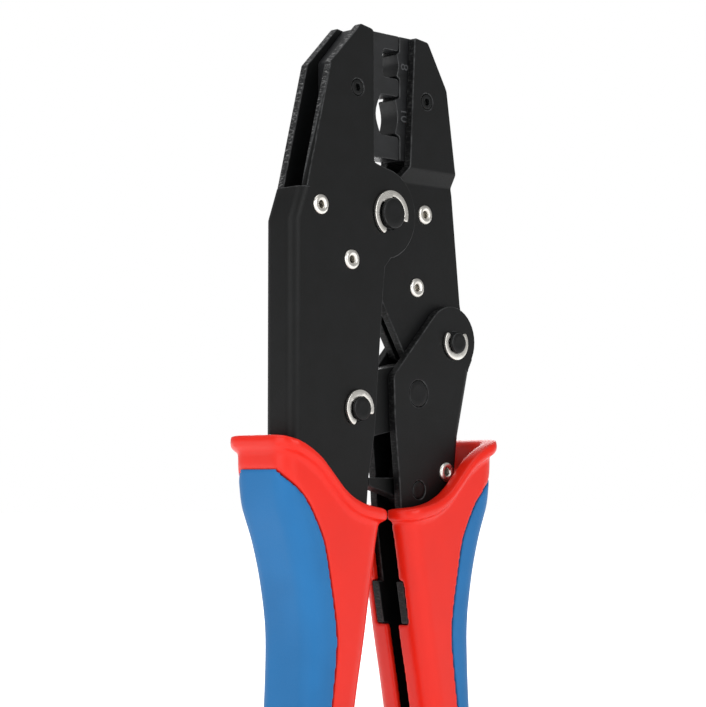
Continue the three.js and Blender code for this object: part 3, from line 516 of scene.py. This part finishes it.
def add_piece(name, bm, body, material, replaces=(), sharp=40, weighted=False):
    """Makes the bmesh a finished piece that rides on a body."""
    mesh = bpy.data.meshes.new(name)
    bm.to_mesh(mesh)
    bm.free()
    mesh.materials.append(finish_of(material))
    mesh.shade_smooth()
    mesh.set_sharp_from_angle(angle=math.radians(sharp))
    piece = bpy.data.objects.new(name, mesh)
    bpy.context.scene.collection.objects.link(piece)
    if weighted:
        piece.modifiers.new("even_shading", "WEIGHTED_NORMAL").keep_sharp = True
    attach(piece, body)
    if replaces:
        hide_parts(*replaces)
    return piece


def object_of(bm, name="scratch"):
    """A scratch object that holds the bmesh."""
    mesh = bpy.data.meshes.new(name)
    bm.to_mesh(mesh)
    bm.free()
    made = bpy.data.objects.new(name, mesh)
    bpy.context.scene.collection.objects.link(made)
    return made


def settled(scratch):
    """A bmesh of a scratch object with its modifiers applied; the object is removed."""
    graph = bpy.context.evaluated_depsgraph_get()
    bm = bmesh.new()
    bm.from_object(scratch, graph)
    mesh = scratch.data
    bpy.data.objects.remove(scratch)
    bpy.data.meshes.remove(mesh)
    return bm


def combined(bm, other, operation):
    """Joins, cuts or intersects one closed bmesh with another."""
    base, tool = object_of(bm), object_of(other)
    modifier = base.modifiers.new("combine", "BOOLEAN")
    modifier.operation = operation
    modifier.solver = "MANIFOLD"
    modifier.object = tool
    made = settled(base)
    mesh = tool.data
    bpy.data.objects.remove(tool)
    bpy.data.meshes.remove(mesh)
    return made


def through(points, steps):
    """A smooth curve through the points, as a list of points."""
    ends = [points[0], *points, points[-1]]
    made = []
    for i in range(len(points) - 1):
        a, b, c, d = (Vector(p) for p in ends[i:i + 4])
        for k in range(steps):
            t = k / steps
            made.append(0.5 * (2 * b + (c - a) * t + (2 * a - 5 * b + 4 * c - d) * t ** 2
                               + (3 * b - a - 3 * c + d) * t ** 3))
    return [tuple(p) for p in made] + [points[-1]]


# ---------------------------------------------------------------- settings


class SteelSettings(bpy.types.PropertyGroup):
    """Blackened steel of the plates, pins and dies."""

    edge: FloatProperty(name="Edge radius", description="Rounding of the plates' rims, in millimetres",
                        default=0.3, min=0.05, max=0.8)
    face_dark: FloatVectorProperty(name="Face, dark", description="Darker clouds of the black oxide",
                                   subtype="COLOR", default=linear("#060707"))
    face_light: FloatVectorProperty(name="Face, light", description="Lighter clouds of the black oxide",
                                    subtype="COLOR", default=linear("#0A0B0C"))
    cut_dark: FloatVectorProperty(name="Sheared edge", description="Ground colour of sheared edges",
                                  subtype="COLOR", default=linear("#1E1F20"))
    cut_light: FloatVectorProperty(name="Bare flecks", description="Bright flecks on sheared edges",
                                   subtype="COLOR", default=linear("#8A8A8A"))
    rubbed: FloatVectorProperty(name="Rubbed rims", description="Grey where handling has rubbed the rims",
                                subtype="COLOR", default=linear("#3A3B3C"))
    die_dark: FloatVectorProperty(name="Die, dark", description="Darker clouds of the dies",
                                  subtype="COLOR", default=linear("#141516"))
    die_light: FloatVectorProperty(name="Die, light", description="Lighter clouds of the dies",
                                   subtype="COLOR", default=linear("#1A1B1D"))


class PlatingSettings(bpy.types.PropertyGroup):
    """Bright plating of the clips, rivets and adjuster."""

    bright: FloatVectorProperty(name="Bright", description="Polished nickel", subtype="COLOR",
                                default=linear("#F6F3ED"))
    dull: FloatVectorProperty(name="Dull", description="Tumbled nickel", subtype="COLOR",
                              default=linear("#DAD7D0"))


class GripSettings(bpy.types.PropertyGroup):
    """Moulded grips."""

    red: FloatVectorProperty(name="Red", description="Hard plastic shell", subtype="COLOR",
                             default=linear("#E9210D"))
    red_shade: FloatVectorProperty(name="Red, deeper", description="Slow colour variation of the shell",
                                   subtype="COLOR", default=linear("#E2200E"))
    blue: FloatVectorProperty(name="Blue", description="Soft inlay", subtype="COLOR",
                              default=linear("#166FAD"))
    blue_shade: FloatVectorProperty(name="Blue, deeper", description="Slow colour variation of the inlay",
                                    subtype="COLOR", default=linear("#1367A2"))
    voxel: FloatProperty(name="Skin size", description="Mesh size of the moulded skin, in millimetres",
                         default=0.5, min=0.3, max=2.0)
    smoothing: IntProperty(name="Smoothing", description="Passes that round the moulded edges",
                           default=6, min=0, max=30)
    seam: FloatProperty(name="Seam", description="Gap between shell and inlay, in millimetres",
                        default=0.16, min=0.0, max=1.0)


class StageSettings(bpy.types.PropertyGroup):
    """Studio floor, lights and camera."""

    floor: FloatVectorProperty(name="Floor", description="Pale studio floor", subtype="COLOR",
                               default=linear("#F6F6F6"))
    key: FloatProperty(name="Key light", description="Power of the large front softbox", default=4.0,
                       min=0.0, subtype="POWER")
    fill: FloatProperty(name="Fill light", description="Power of the side softbox", default=3.0,
                        min=0.0, subtype="POWER")
    top: FloatProperty(name="Top light", description="Power of the overhead softbox", default=4.5,
                       min=0.0, subtype="POWER")
    rim: FloatProperty(name="Rim light", description="Power of the softbox behind the tool", default=4.0,
                       min=0.0, subtype="POWER")
    room: FloatProperty(name="Room", description="Brightness of the white room around the tool",
                        default=0.38, min=0.0, max=2.0)
    lens: FloatProperty(name="Lens", description="Focal length of the camera", default=107.08,
                        min=20.0, max=300.0, subtype="DISTANCE_CAMERA")


# ---------------------------------------------------------------- operators


class CRIMPER_OT_plates(bpy.types.Operator):
    """Finish the folded channels, the jaw plates and their spacers"""

    bl_idname = "crimper.plates"
    bl_label = "Plates"

    def execute(self, context):
        edge = context.scene.crimper_steel.edge
        bodies = {
            "frame_channel": "frame", "frame_spacer": "frame", "jaw_front_plate": "jaw",
            "jaw_back_plate": "jaw", "jaw_spacer": "jaw", "handle_channel": "handle",
        }
        for node, body in bodies.items():
            bm = mark_cuts(copied(node))
            add_piece(node + "_finished", soften(bm, edge, 3), body, "steel",
                      [node], weighted=True)
        return {"FINISHED"}


SIZE_MARKS = {"8": 43.4, "10": 29.4}  # each number and its height on the moving die
MARK_X = 8.7
MARK_SIZE = 4.2
MARK_RISE = 0.07


class CRIMPER_OT_dies(bpy.types.Operator):
    """Finish both dies and put their size marks on"""

    bl_idname = "crimper.dies"
    bl_label = "Dies"

    def execute(self, context):
        for node, body in (("fixed_die", "frame"), ("moving_die", "jaw")):
            add_piece(node + "_finished", soften(copied(node), 0.25, 2), body, "die",
                      [node], weighted=True)
        for text, height in SIZE_MARKS.items():
            size_mark(text, MARK_X, height)
        return {"FINISHED"}


def size_mark(text, x, z):
    """A raised number, turned a quarter turn, on the moving die's front face."""
    line = bpy.data.curves.new("size_mark_" + text, "FONT")
    line.body = text
    line.size = MARK_SIZE * MM
    line.extrude = MARK_RISE * MM
    line.align_x = "CENTER"
    line.align_y = "CENTER"
    scratch = bpy.data.objects.new("scratch", line)
    bpy.context.scene.collection.objects.link(scratch)
    graph = bpy.context.evaluated_depsgraph_get()
    bm = bmesh.new()
    mesh = bpy.data.meshes.new_from_object(scratch.evaluated_get(graph))
    bm.from_mesh(mesh)
    bpy.data.meshes.remove(mesh)
    bpy.data.objects.remove(scratch)
    bmesh.ops.remove_doubles(bm, verts=bm.verts, dist=1e-6)
    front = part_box("moving_die")[0].y / MM
    for vert in bm.verts:
        # The text's own right runs down the tool, and its own up runs to the right
        across, along, rise = vert.co.y / MM, -vert.co.x / MM, vert.co.z / MM
        vert.co = at(x + across, front - rise, z + along)
    bmesh.ops.recalc_face_normals(bm, faces=bm.faces)
    add_piece("size_mark_" + text, bm, "jaw", "mark")


class CRIMPER_OT_linkage(bpy.types.Operator):
    """Finish the toggle link and the ratchet pawl"""

    bl_idname = "crimper.linkage"
    bl_label = "Link and Pawl"

    def execute(self, context):
        for node, body in (("toggle_link", "link"), ("ratchet_pawl", "pawl")):
            bm = mark_cuts(copied(node))
            add_piece(node + "_finished", soften(bm, 0.25, 2), body, "steel",
                      [node], weighted=True)
        return {"FINISHED"}


LINK_PIN_RADIUS = 3.35
PINS = {
    "main_pivot_pin": {"radius": 4.4, "head": 6.4, "body": "frame"},
    "handle_pivot_pin": {"radius": 3.1, "head": 4.8, "body": "handle"},
}


class CRIMPER_OT_pins(bpy.types.Operator):
    """Turn the pivot pins with their clip grooves and domed back heads"""

    bl_idname = "crimper.pins"
    bl_label = "Pins"

    def execute(self, context):
        front = -HALF - PIN_RISE
        groove = CLIP_FRONT - 0.1  # the groove is a little wider than the clip
        for node, pin in PINS.items():
            radius, head = pin["radius"], pin["head"]
            profile = [
                (0, front + 0.12), (radius * 0.5, front + 0.06), (radius - 0.7, front),
                (radius - 0.25, front + 0.2), (radius, front + 0.65), (radius, groove),
                (radius - GROOVE, groove), (radius - GROOVE, -HALF - FACE), (radius, -HALF - FACE),
                (radius, HALF + FACE), (head, HALF + FACE), (head, HALF + 0.9), (head - 0.4, HALF + 1.35),
                (head * 0.5, HALF + 1.55), (0, HALF + 1.6),
            ]
            add_piece(node + "_finished", soften(turned(profile, from_pivot(node)), 0.1, 2), pin["body"],
                      "steel", [node])
        radius = LINK_PIN_RADIUS
        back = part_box("link_pin")[1].y / MM
        profile = [
            (0, front + 0.12), (radius * 0.5, front + 0.05), (radius - 0.6, front),
            (radius - 0.2, front + 0.2), (radius, front + 0.6), (radius, groove),
            (radius - GROOVE, groove), (radius - GROOVE, -HALF - FACE), (radius, -HALF - FACE),
            (radius, back - 0.4), (radius - 0.4, back), (1.2, back), (0.8, back - 0.5), (0, back - 0.7),
        ]
        add_piece("link_pin_finished", soften(turned(profile, from_pivot("link_pin")), 0.1, 2), "adjuster",
                  "steel", ["link_pin"])
        return {"FINISHED"}


# outer: the clip's outside radius. open: degrees from +X to the middle of its mouth
CLIPS = {
    "main_pivot_clip": {"pin": "main_pivot_pin", "radius": PINS["main_pivot_pin"]["radius"],
                        "outer": 6.6, "open": -67, "body": "frame"},
    "link_pin_clip": {"pin": "link_pin", "radius": LINK_PIN_RADIUS,
                      "outer": 5.25, "open": -67, "body": "adjuster"},
    "handle_pivot_clip": {"pin": "handle_pivot_pin", "radius": PINS["handle_pivot_pin"]["radius"],
                          "outer": 4.9, "open": 90, "body": "handle"},
}
CLIP_MOUTH = 48  # degrees from the middle of the mouth to each tip
CLIP_BAND = 1.45  # width of the plain band
CLIP_TIP = 0.9  # radius of its round tips


class CRIMPER_OT_clips(bpy.types.Operator):
    """Stamp the retaining clips: open rings, widest opposite the mouth, with round tips"""

    bl_idname = "crimper.clips"
    bl_label = "Retaining Clips"

    def execute(self, context):
        for node, clip in CLIPS.items():
            bm = clip_band(from_pivot(clip["pin"]), clip["radius"], clip["outer"], clip["open"])
            add_piece(node + "_finished", soften(bm, 0.18, 3), clip["body"], "nickel",
                      [node], weighted=True)
        return {"FINISHED"}


def tip_drop(distance):
    """How far a round tip has drawn in, at a distance from the clip's end."""
    return CLIP_TIP * (1 - math.sqrt(max(0.0, 1 - (1 - min(distance / CLIP_TIP, 1.0)) ** 2)))


def clip_band(centre, pin_radius, outer, opening):
    """The clip's band, spun from one edge and then widened inwards at its lug and its tips."""
    bm = bmesh.new()
    x, z = centre
    axis = at(x, 0, z)
    start = math.radians(opening + CLIP_MOUTH)
    travel = math.radians(360 - 2 * CLIP_MOUTH)
    steps = 120
    ring = [
        bm.verts.new(at(x + r * math.cos(start), CLIP_FRONT, z + r * math.sin(start)))
        for r in (outer - CLIP_BAND, outer)
    ]
    band = bm.edges.new(ring)
    bmesh.ops.spin(bm, geom=[*ring, band], cent=axis, axis=(0, -1, 0), dvec=(0, 0, 0),
                   angle=travel, steps=steps, use_merge=False)
    seat = pin_radius - GROOVE + 0.1
    for vert in bm.verts:
        away = vert.co - axis
        radius = math.hypot(away.x, away.z) / MM
        turn = (math.atan2(away.z, away.x) - start) % (2 * math.pi)
        share = min(turn / travel, 1.0)
        tip = min(share, 1 - share) * travel * outer
        if radius > outer - 0.5:
            # Outside: the tips are rounded off
            wanted = outer - tip_drop(tip)
        else:
            # Inside: one lug opposite the mouth, and a little more width at the middle and at both tips
            across = abs(share - 0.5) * travel * seat
            lug = max(0.0, min(1.0, (1.7 - across) / 0.5))
            swell = 0.55 * max(0.0, 1 - tip / 2.4)
            plain = outer - CLIP_BAND - 0.35 * (1 - abs(2 * share - 1)) - swell + tip_drop(tip)
            wanted = plain + (seat - plain) * lug
        away.x *= wanted / radius
        away.z *= wanted / radius
        vert.co = axis + away
    return thickened(bm, CLIP_THICKNESS)


# Each rivet's body, and the half thickness of what it holds together
RIVETS = {
    "frame_rivet_upper": ("frame", HALF), "frame_rivet_lower": ("frame", HALF),
    "jaw_rivet_upper": ("jaw", JAW_HALF), "jaw_rivet_lower": ("jaw", JAW_HALF),
    "spring_anchor_rivet": ("handle", HALF),
}
FLUSH_RIVETS = {"toggle_rivet": 3.75, "pawl_rivet": 2.5}  # radii


class CRIMPER_OT_rivets(bpy.types.Operator):
    """Turn the tubular rivets with rolled rims, and the flush rivets"""

    bl_idname = "crimper.rivets"
    bl_label = "Rivets"

    def execute(self, context):
        for node, (body, reach) in RIVETS.items():
            add_piece(node + "_finished", tube_rivet(from_pivot(node), reach), body,
                      "nickel", [node], sharp=50)
        for node, radius in FLUSH_RIVETS.items():
            profile = [
                (0, -HALF + 0.1), (radius * 0.6, -HALF + 0.05), (radius - 0.35, -HALF),
                (radius - 0.1, -HALF + 0.12), (radius, -HALF + 0.4), (radius, HALF - 0.4),
                (radius - 0.1, HALF - 0.12), (radius - 0.35, HALF), (radius * 0.6, HALF - 0.05),
                (0, HALF - 0.1),
            ]
            add_piece(node + "_finished", soften(turned(profile, from_pivot(node)), 0.08, 2), "handle",
                      "steel", [node])
        return {"FINISHED"}


def tube_rivet(centre, reach):
    """A tubular rivet whose rolled rims stand on faces at -reach and reach."""
    bore, head, barrel, rise = 1.05, 2.8, 1.6, 0.6
    face = reach + FACE
    middle, half = (bore + head) / 2, (head - bore) / 2
    steps = 8
    rim = []
    for i in range(steps + 1):
        angle = math.pi * i / steps
        rim.append((middle - half * math.cos(angle), face + (rise - FACE) * math.sin(angle)))
    back = rim + [(barrel, face)]
    front = [(radius, -y) for radius, y in reversed(rim)]
    profile = [(barrel, -face), *front, *back]
    return turned(profile, centre, 40, closed=True)


class CRIMPER_OT_screws(bpy.types.Operator):
    """Turn the die screws with their sockets, and finish the adjuster and its lock screw"""

    bl_idname = "crimper.screws"
    bl_label = "Screws and Adjuster"

    def execute(self, context):
        for node, body in (("fixed_die_screw", "frame"), ("moving_die_screw", "jaw")):
            add_piece(node + "_finished", die_screw(from_pivot(node)), body, "steel", [node])
        for node, body in (("adjuster_wheel", "adjuster"), ("adjuster_lock_screw", "frame")):
            add_piece(node + "_finished", soften(copied(node), 0.2, 2), body, "nickel",
                      [node], weighted=True)
        return {"FINISHED"}


def die_screw(centre):
    """A flush screw with a dished face and a hexagonal socket at the front."""
    radius, socket_radius = 2.25, 1.2
    profile = [
        (0, -HALF + 0.06), (radius - 0.4, -HALF), (radius - 0.1, -HALF + 0.15), (radius, -HALF + 0.45),
        (radius, HALF - 0.3), (radius - 0.3, HALF), (0, HALF),
    ]
    x, z = centre
    turns = [math.radians(60 * k) for k in range(6)]
    hexagon = [(x + socket_radius * math.cos(turn), z + socket_radius * math.sin(turn)) for turn in turns]
    socket = thickened(flat_outline(hexagon, -HALF - 1), 2.6)
    return soften(combined(turned(profile, centre, 48), socket, "DIFFERENCE"), 0.06, 2, 50)


# a and b: the posts that the hooks go round. coil, wire and eye are radii
SPRINGS = {
    "return_spring": {"a": (-18.5, -20.0), "b": (-21.3, -49.6), "coil": 2.3, "wire": 0.45, "turns": 22,
                      "eye": 1.8, "body": "frame"},
    "pawl_spring": {"a": (15.6, -72.3), "b": (23.4, -72.5), "coil": 1.3, "wire": 0.25, "turns": 7,
                    "eye": 1.25, "body": "handle"},
}


class CRIMPER_OT_springs(bpy.types.Operator):
    """Wind the two tension springs with their end hooks"""

    bl_idname = "crimper.springs"
    bl_label = "Springs"

    def execute(self, context):
        for node, spring in SPRINGS.items():
            bm = wound_spring(spring)
            made = add_piece(node + "_finished", bm, spring["body"], "wire",
                             [node], sharp=80)
            if node == "return_spring":
                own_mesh(made)
        return {"FINISHED"}


def wound_spring(spring):
    """A close-wound coil between two hooks, spun from round sections of the wire."""
    start, end = at(spring["a"][0], 0, spring["a"][1]), at(spring["b"][0], 0, spring["b"][1])
    along = (end - start).normalized()
    coil, wire, eye = spring["coil"] * MM, spring["wire"] * MM, spring["eye"] * MM
    margin = eye + 2 * wire
    low, high = start + along * margin, end - along * margin
    bm = bmesh.new()
    across = Vector((0, 1, 0))
    side = along.cross(across).normalized()
    per_turn = 16
    steps = spring["turns"] * per_turn
    section = wire_section(bm, low + side * coil, across, side, wire)
    bmesh.ops.spin(bm, geom=section, cent=low, axis=along, dvec=(high - low) / steps,
                   angle=2 * math.pi * spring["turns"], steps=steps, use_merge=False)
    for hook, towards in ((start, along), (end, -along)):
        section = wire_section(bm, hook + towards * eye, side, across, wire)
        bmesh.ops.spin(bm, geom=section, cent=hook, axis=(0, 1, 0), dvec=(0, 0, 0),
                       angle=math.radians(285), steps=24, use_merge=False)
        section = wire_section(bm, hook + towards * eye, across, side, wire)
        reach = (high - low).length / (spring["turns"] * 2) + 2 * wire
        ring = [g for g in section if isinstance(g, bmesh.types.BMEdge)]
        bridge = bmesh.ops.extrude_edge_only(bm, edges=ring)
        moved = [g for g in bridge["geom"] if isinstance(g, bmesh.types.BMVert)]
        bmesh.ops.translate(bm, verts=moved, vec=towards * reach)
    bmesh.ops.holes_fill(bm, edges=[e for e in bm.edges if e.is_boundary], sides=0)
    bmesh.ops.recalc_face_normals(bm, faces=bm.faces)
    return bm


def wire_section(bm, centre, u, v, radius):
    """A round ring of vertices and edges across the wire."""
    sides = 8
    ring = [
        bm.verts.new(centre + radius * (u * math.cos(a) + v * math.sin(a)))
        for a in (2 * math.pi * k / sides for k in range(sides))
    ]
    return ring + [bm.edges.new((ring[k], ring[(k + 1) % sides])) for k in range(sides)]


# ---------------------------------------------------------------- grips


def grip_points(side, points):
    """Grip coordinates to millimetres from the main pivot. side is -1 for the left grip, else 1."""
    return [(GRIP_PLANE + side * s, z) for s, z in points]


def grip_form(side, inset):
    """A grip's outside with its long edges rounded, inset all round."""
    steps = 8
    loop = GRIP_ABOVE + through(GRIP_OUTER, steps) + GRIP_BELOW + through(GRIP_INNER, steps)[::-1]
    bm = flat_outline(grip_points(side, loop), -(GRIP_HALF - inset))
    if inset:
        ring = bmesh.ops.inset_individual(bm, faces=bm.faces[:], thickness=inset * MM, use_even_offset=True)
        bmesh.ops.delete(bm, geom=ring["faces"], context="FACES")
    thickened(bm, 2 * (GRIP_HALF - inset))
    rims = [e for e in bm.edges if abs(e.verts[0].co.y - e.verts[1].co.y) < 1e-7]
    bmesh.ops.bevel(bm, geom=rims, offset=(GRIP_ROUND - inset) * MM, offset_type="OFFSET", affect="EDGES",
                    segments=8, profile=0.5, material=-1)
    return bm


def slab(side, loop, half):
    """A prism through both faces of a grip, from a loop of grip coordinates."""
    return thickened(flat_outline(grip_points(side, loop), -half), 2 * half)


def under_rim(side, drop):
    """All that is below the rim's curve, lowered by drop, and above the flat end."""
    rim = [(s, z - drop) for s, z in through(RIM, 10)]
    return slab(side, [(-10, -STAND), (70, -STAND), (70, rim[0][1]), *rim, (-10, rim[-1][1])], BLOCK)


def collar(side):
    """The rolled lip round the mouth, following the rim's curve."""
    size = COLLAR
    bm = bmesh.new()
    plan = [(size["inner"], -1), (size["outer"], -1), (size["outer"], 1), (size["inner"], 1)]
    verts = [bm.verts.new(at(GRIP_PLANE + side * s, y * size["half"], -110)) for s, y in plan]
    bm.faces.new(verts)
    for vert in verts:
        bmesh.ops.bevel(bm, geom=[vert], offset=size["round"] * MM, offset_type="OFFSET", affect="VERTICES",
                        segments=8, profile=0.5, material=-1)
    made = bmesh.ops.extrude_face_region(bm, geom=bm.faces[:])
    moved = [g for g in made["geom"] if isinstance(g, bmesh.types.BMVert)]
    bmesh.ops.translate(bm, verts=moved, vec=(0, 0, 60 * MM))
    bmesh.ops.recalc_face_normals(bm, faces=bm.faces)
    band = combined(bm, under_rim(side, 0), "INTERSECT")
    return combined(band, under_rim(side, size["band"]), "DIFFERENCE")


def inlay_side(side, gap):
    """The part of a grip that the soft inlay covers, its edge moved outwards by gap."""
    edge = [(s + gap, z) for s, z in through(INLAY_EDGE, 8)]
    return slab(side, [(70, INLAY_TOP - gap), *edge, (70, INLAY_END + gap)], BLOCK)


def steel_room(side):
    """The hollow that takes the steel tang."""
    loop = [(s - SEAT, z) for s, z in TANG_INNER] + [(s + SEAT, z) for s, z in TANG_OUTER]
    return slab(side, loop, HALF + SEAT)


def lip_slot(side):
    """The slot between the lips, with the window that shows the steel's tabs."""
    step = SLOT_STEP - TANG_END
    slot = slab(side, [
        (SLOT_OPEN, 0), (17, 0), (17, step), (22, step), (22, -TANG_END), (SLOT_OPEN, -TANG_END),
    ], SLOT_HALF)
    window = slab(side, [
        (-3, WINDOW_HIGH), (13, WINDOW_HIGH), (13, WINDOW_LOW), (-3, WINDOW_LOW),
    ], HALF + SEAT)
    above = WINDOW_HIGH - 0.1
    mouth = slab(side, [(SLOT_OPEN, 0), (13, 0), (13, above), (SLOT_OPEN, above)], SLOT_MOUTH)
    return combined(combined(slot, window, "UNION"), mouth, "UNION")


def rim_height(s):
    """Height of the rim's curve at a distance from the plane between the grips."""
    curve = through(RIM, 10)
    for (outer, high), (inner, low) in zip(curve, curve[1:]):
        if s >= inner:
            return low + (high - low) * (s - inner) / (outer - inner)
    return curve[-1][1]


def rolled(bm, side):
    """Rolls the lip round the mouth over, down to the fillet under it."""
    lows = [rim_height(s) - COLLAR["band"] - LIP_FILLET for s in range(RIM_REACH + 1)]
    lip = []
    for vert in bm.verts:
        s = side * ((vert.co.x - PIVOT_X) / MM - GRIP_PLANE)
        if (vert.co.z - PIVOT_Z) / MM > lows[max(0, min(RIM_REACH, round(s)))]:
            lip.append(vert)
    for _ in range(LIP_PASSES):
        bmesh.ops.smooth_vert(bm, verts=lip, factor=0.5, use_axis_x=True, use_axis_y=True, use_axis_z=True)
    return bm


def moulded(bm, look):
    """Gives a cut solid an even skin with softly rounded edges, as it leaves the mould."""
    scratch = object_of(bm)
    skin = scratch.modifiers.new("skin", "REMESH")
    skin.mode = "VOXEL"
    skin.voxel_size = look.voxel * MM
    smooth = scratch.modifiers.new("rounding", "SMOOTH")
    smooth.factor = 0.5
    smooth.iterations = look.smoothing
    made = settled(scratch)
    bmesh.ops.recalc_face_normals(made, faces=made.faces)
    return made


def grip_shell(side, look):
    """The hard shell: the grip's form with its collar, less the inlay's pocket and the steel's room."""
    pocket = combined(inlay_side(side, -look.seam), grip_form(side, INLAY_DEPTH + look.seam), "DIFFERENCE")
    shell = combined(grip_form(side, 0), under_rim(side, COLLAR_OVERHANG), "INTERSECT")
    shell = combined(shell, pocket, "DIFFERENCE")
    shell = combined(shell, collar(side), "UNION")
    mouth = combined(grip_form(side, MOUTH_WALL), under_rim(side, MOUTH_DEPTH), "DIFFERENCE")
    shell = combined(shell, mouth, "DIFFERENCE")
    shell = combined(shell, steel_room(side), "DIFFERENCE")
    shell = combined(shell, lip_slot(side), "DIFFERENCE")
    return rolled(moulded(shell, look), side)


def grip_inlay(side, look):
    """The soft inlay: a skin over the outer side of the grip's form."""
    inlay = combined(grip_form(side, 0), inlay_side(side, look.seam), "INTERSECT")
    return moulded(combined(inlay, grip_form(side, INLAY_DEPTH), "DIFFERENCE"), look)


class CRIMPER_OT_grips(bpy.types.Operator):
    """Mould the two red shells and their blue soft inlays"""

    bl_idname = "crimper.grips"
    bl_label = "Grips"

    def execute(self, context):
        look = context.scene.crimper_grips
        for side, name, body in ((-1, "left", "frame"), (1, "right", "handle")):
            shell, inlay = name + "_grip_shell", name + "_grip_inlay"
            add_piece(shell + "_finished", grip_shell(side, look), body, "red",
                      [shell], sharp=180)
            add_piece(inlay + "_finished", grip_inlay(side, look), body, "blue",
                      [inlay], sharp=180)
        return {"FINISHED"}


# ---------------------------------------------------------------- stage


# Each softbox with its place from the tool's middle and its size, in metres, and its power's setting
SOFTBOXES = (
    ("key_light", (-0.1, -1.15, 0.45), 0.6, "key"),
    ("fill_light", (-1.1, -0.2, 0.3), 0.7, "fill"),
    ("rim_light", (0.85, 0.8, 0.35), 0.6, "rim"),
    ("top_light", (-0.25, 0.1, 1.0), 1.0, "top"),
)
CAMERA_PLACE = (-0.42057, -0.41441, 0.10074)
CAMERA_TILT, CAMERA_HEADING = 93.637, -45.0  # degrees


class CRIMPER_OT_stage(bpy.types.Operator):
    """Lay the pale floor, hang the softboxes and set the camera"""

    bl_idname = "crimper.stage"
    bl_label = "Studio"

    def execute(self, context):
        scene = context.scene
        look = scene.crimper_stage
        scene.view_settings.view_transform = "Standard"
        lay_floor(look)
        low, high = CAD_BOX
        middle = (low + high) / 2
        for name, offset, size, setting in SOFTBOXES:
            softbox(scene, name, middle + Vector(offset), middle, size, getattr(look, setting))
        white_room(scene, look)
        place_camera(scene, look)
        return {"FINISHED"}


def lay_floor(look):
    """A pale paper floor that fades into the white room."""
    bm = bmesh.new()
    bmesh.ops.create_grid(bm, x_segments=4, y_segments=4, size=6.0)
    floor = object_of(bm, "studio_floor")
    material, tree, shader, place = new_material("studio_floor")
    paper = add(tree, "TexNoise", inputs={
        "Vector": place, "Scale": per_mm(40.0), "Detail": 2.0, "Roughness": NOISE_ROUGHNESS,
    }).outputs["Fac"]
    shade = opaque([c * 0.98 for c in look.floor])
    colour = add(tree, "Mix", COLOURS, {0: paper, COLOUR_A: opaque(look.floor), COLOUR_B: shade})
    tree.links.new(colour.outputs[COLOUR_OUT], shader.inputs["Base Color"])
    shader.inputs["Roughness"].default_value = 0.9
    # The floor glows more further out, so that its far edge doesn't show
    reach = add(tree, "VectorMath", {"operation": "LENGTH"}, {0: place}).outputs["Value"]
    glow = add(tree, "MapRange", inputs={
        "Value": reach, "From Min": 0.25, "From Max": 1.2, "To Min": 0.45, "To Max": 1.0,
    })
    shader.inputs["Emission Color"].default_value = opaque((1.0, 1.0, 1.0))
    tree.links.new(glow.outputs["Result"], shader.inputs["Emission Strength"])
    floor.data.materials.append(material)


def white_room(scene, look):
    """A world that is seen as white and lights the tool more softly."""
    world = bpy.data.worlds.new("white_room")
    world.use_nodes = True
    scene.world = world
    tree = world.node_tree
    tree.nodes.clear()
    seen = add(tree, "LightPath").outputs["Is Camera Ray"]
    white, room = opaque((1.0, 1.0, 1.0)), opaque((look.room,) * 3)
    colour = add(tree, "Mix", COLOURS, {0: seen, COLOUR_A: room, COLOUR_B: white}).outputs[COLOUR_OUT]
    sky = add(tree, "Background", inputs={"Color": colour})
    add(tree, "OutputWorld", inputs={"Surface": sky.outputs["Background"]})


def place_camera(scene, look):
    """The camera, at the tool's front left and a little below its middle."""
    camera = bpy.data.cameras.new("camera")
    camera.lens = look.lens
    camera.sensor_fit = "HORIZONTAL"
    camera.sensor_width = 36.0
    camera.clip_start = 0.01
    made = bpy.data.objects.new("camera", camera)
    made.location = CAMERA_PLACE
    made.rotation_euler = (math.radians(CAMERA_TILT), 0.0, math.radians(CAMERA_HEADING))
    scene.collection.objects.link(made)
    scene.camera = made


def softbox(scene, name, place, target, size, power):
    """A square area light that faces the target."""
    light = bpy.data.lights.new(name, "AREA")
    light.size = size
    light.energy = power
    made = bpy.data.objects.new(name, light)
    made.location = place
    made.rotation_euler = (target - place).to_track_quat("-Z", "Y").to_euler()
    scene.collection.objects.link(made)


# ---------------------------------------------------------------- panel and registration


STEPS = (
    CRIMPER_OT_plates, CRIMPER_OT_dies, CRIMPER_OT_linkage, CRIMPER_OT_pins, CRIMPER_OT_clips,
    CRIMPER_OT_rivets, CRIMPER_OT_screws, CRIMPER_OT_springs, CRIMPER_OT_grips, CRIMPER_OT_stage,
)
SETTINGS = {
    "crimper_steel": SteelSettings, "crimper_plating": PlatingSettings,
    "crimper_grips": GripSettings, "crimper_stage": StageSettings,
}


class CRIMPER_PT_panel(bpy.types.Panel):
    """Lists the tool's pieces, in the order they are made"""

    bl_idname = "CRIMPER_PT_panel"
    bl_label = "Crimping Tool"
    bl_space_type = "VIEW_3D"
    bl_region_type = "UI"
    bl_category = "Crimping Tool"

    def draw(self, context):
        for step in STEPS:
            self.layout.operator(step.bl_idname)


def register():
    for group in SETTINGS.values():
        bpy.utils.register_class(group)
    for name, group in SETTINGS.items():
        setattr(bpy.types.Scene, name, PointerProperty(type=group))
    for step in STEPS:
        bpy.utils.register_class(step)
    bpy.utils.register_class(CRIMPER_PT_panel)


def unregister():
    bpy.utils.unregister_class(CRIMPER_PT_panel)
    for step in reversed(STEPS):
        bpy.utils.unregister_class(step)
    for name in SETTINGS:
        delattr(bpy.types.Scene, name)
    for group in SETTINGS.values():
        bpy.utils.unregister_class(group)


def main():
    """Makes every piece and the stage."""
    register()
    for step in STEPS:
        area, name = step.bl_idname.split(".")
        getattr(getattr(bpy.ops, area), name)()


if __name__ == "__main__":
    main()
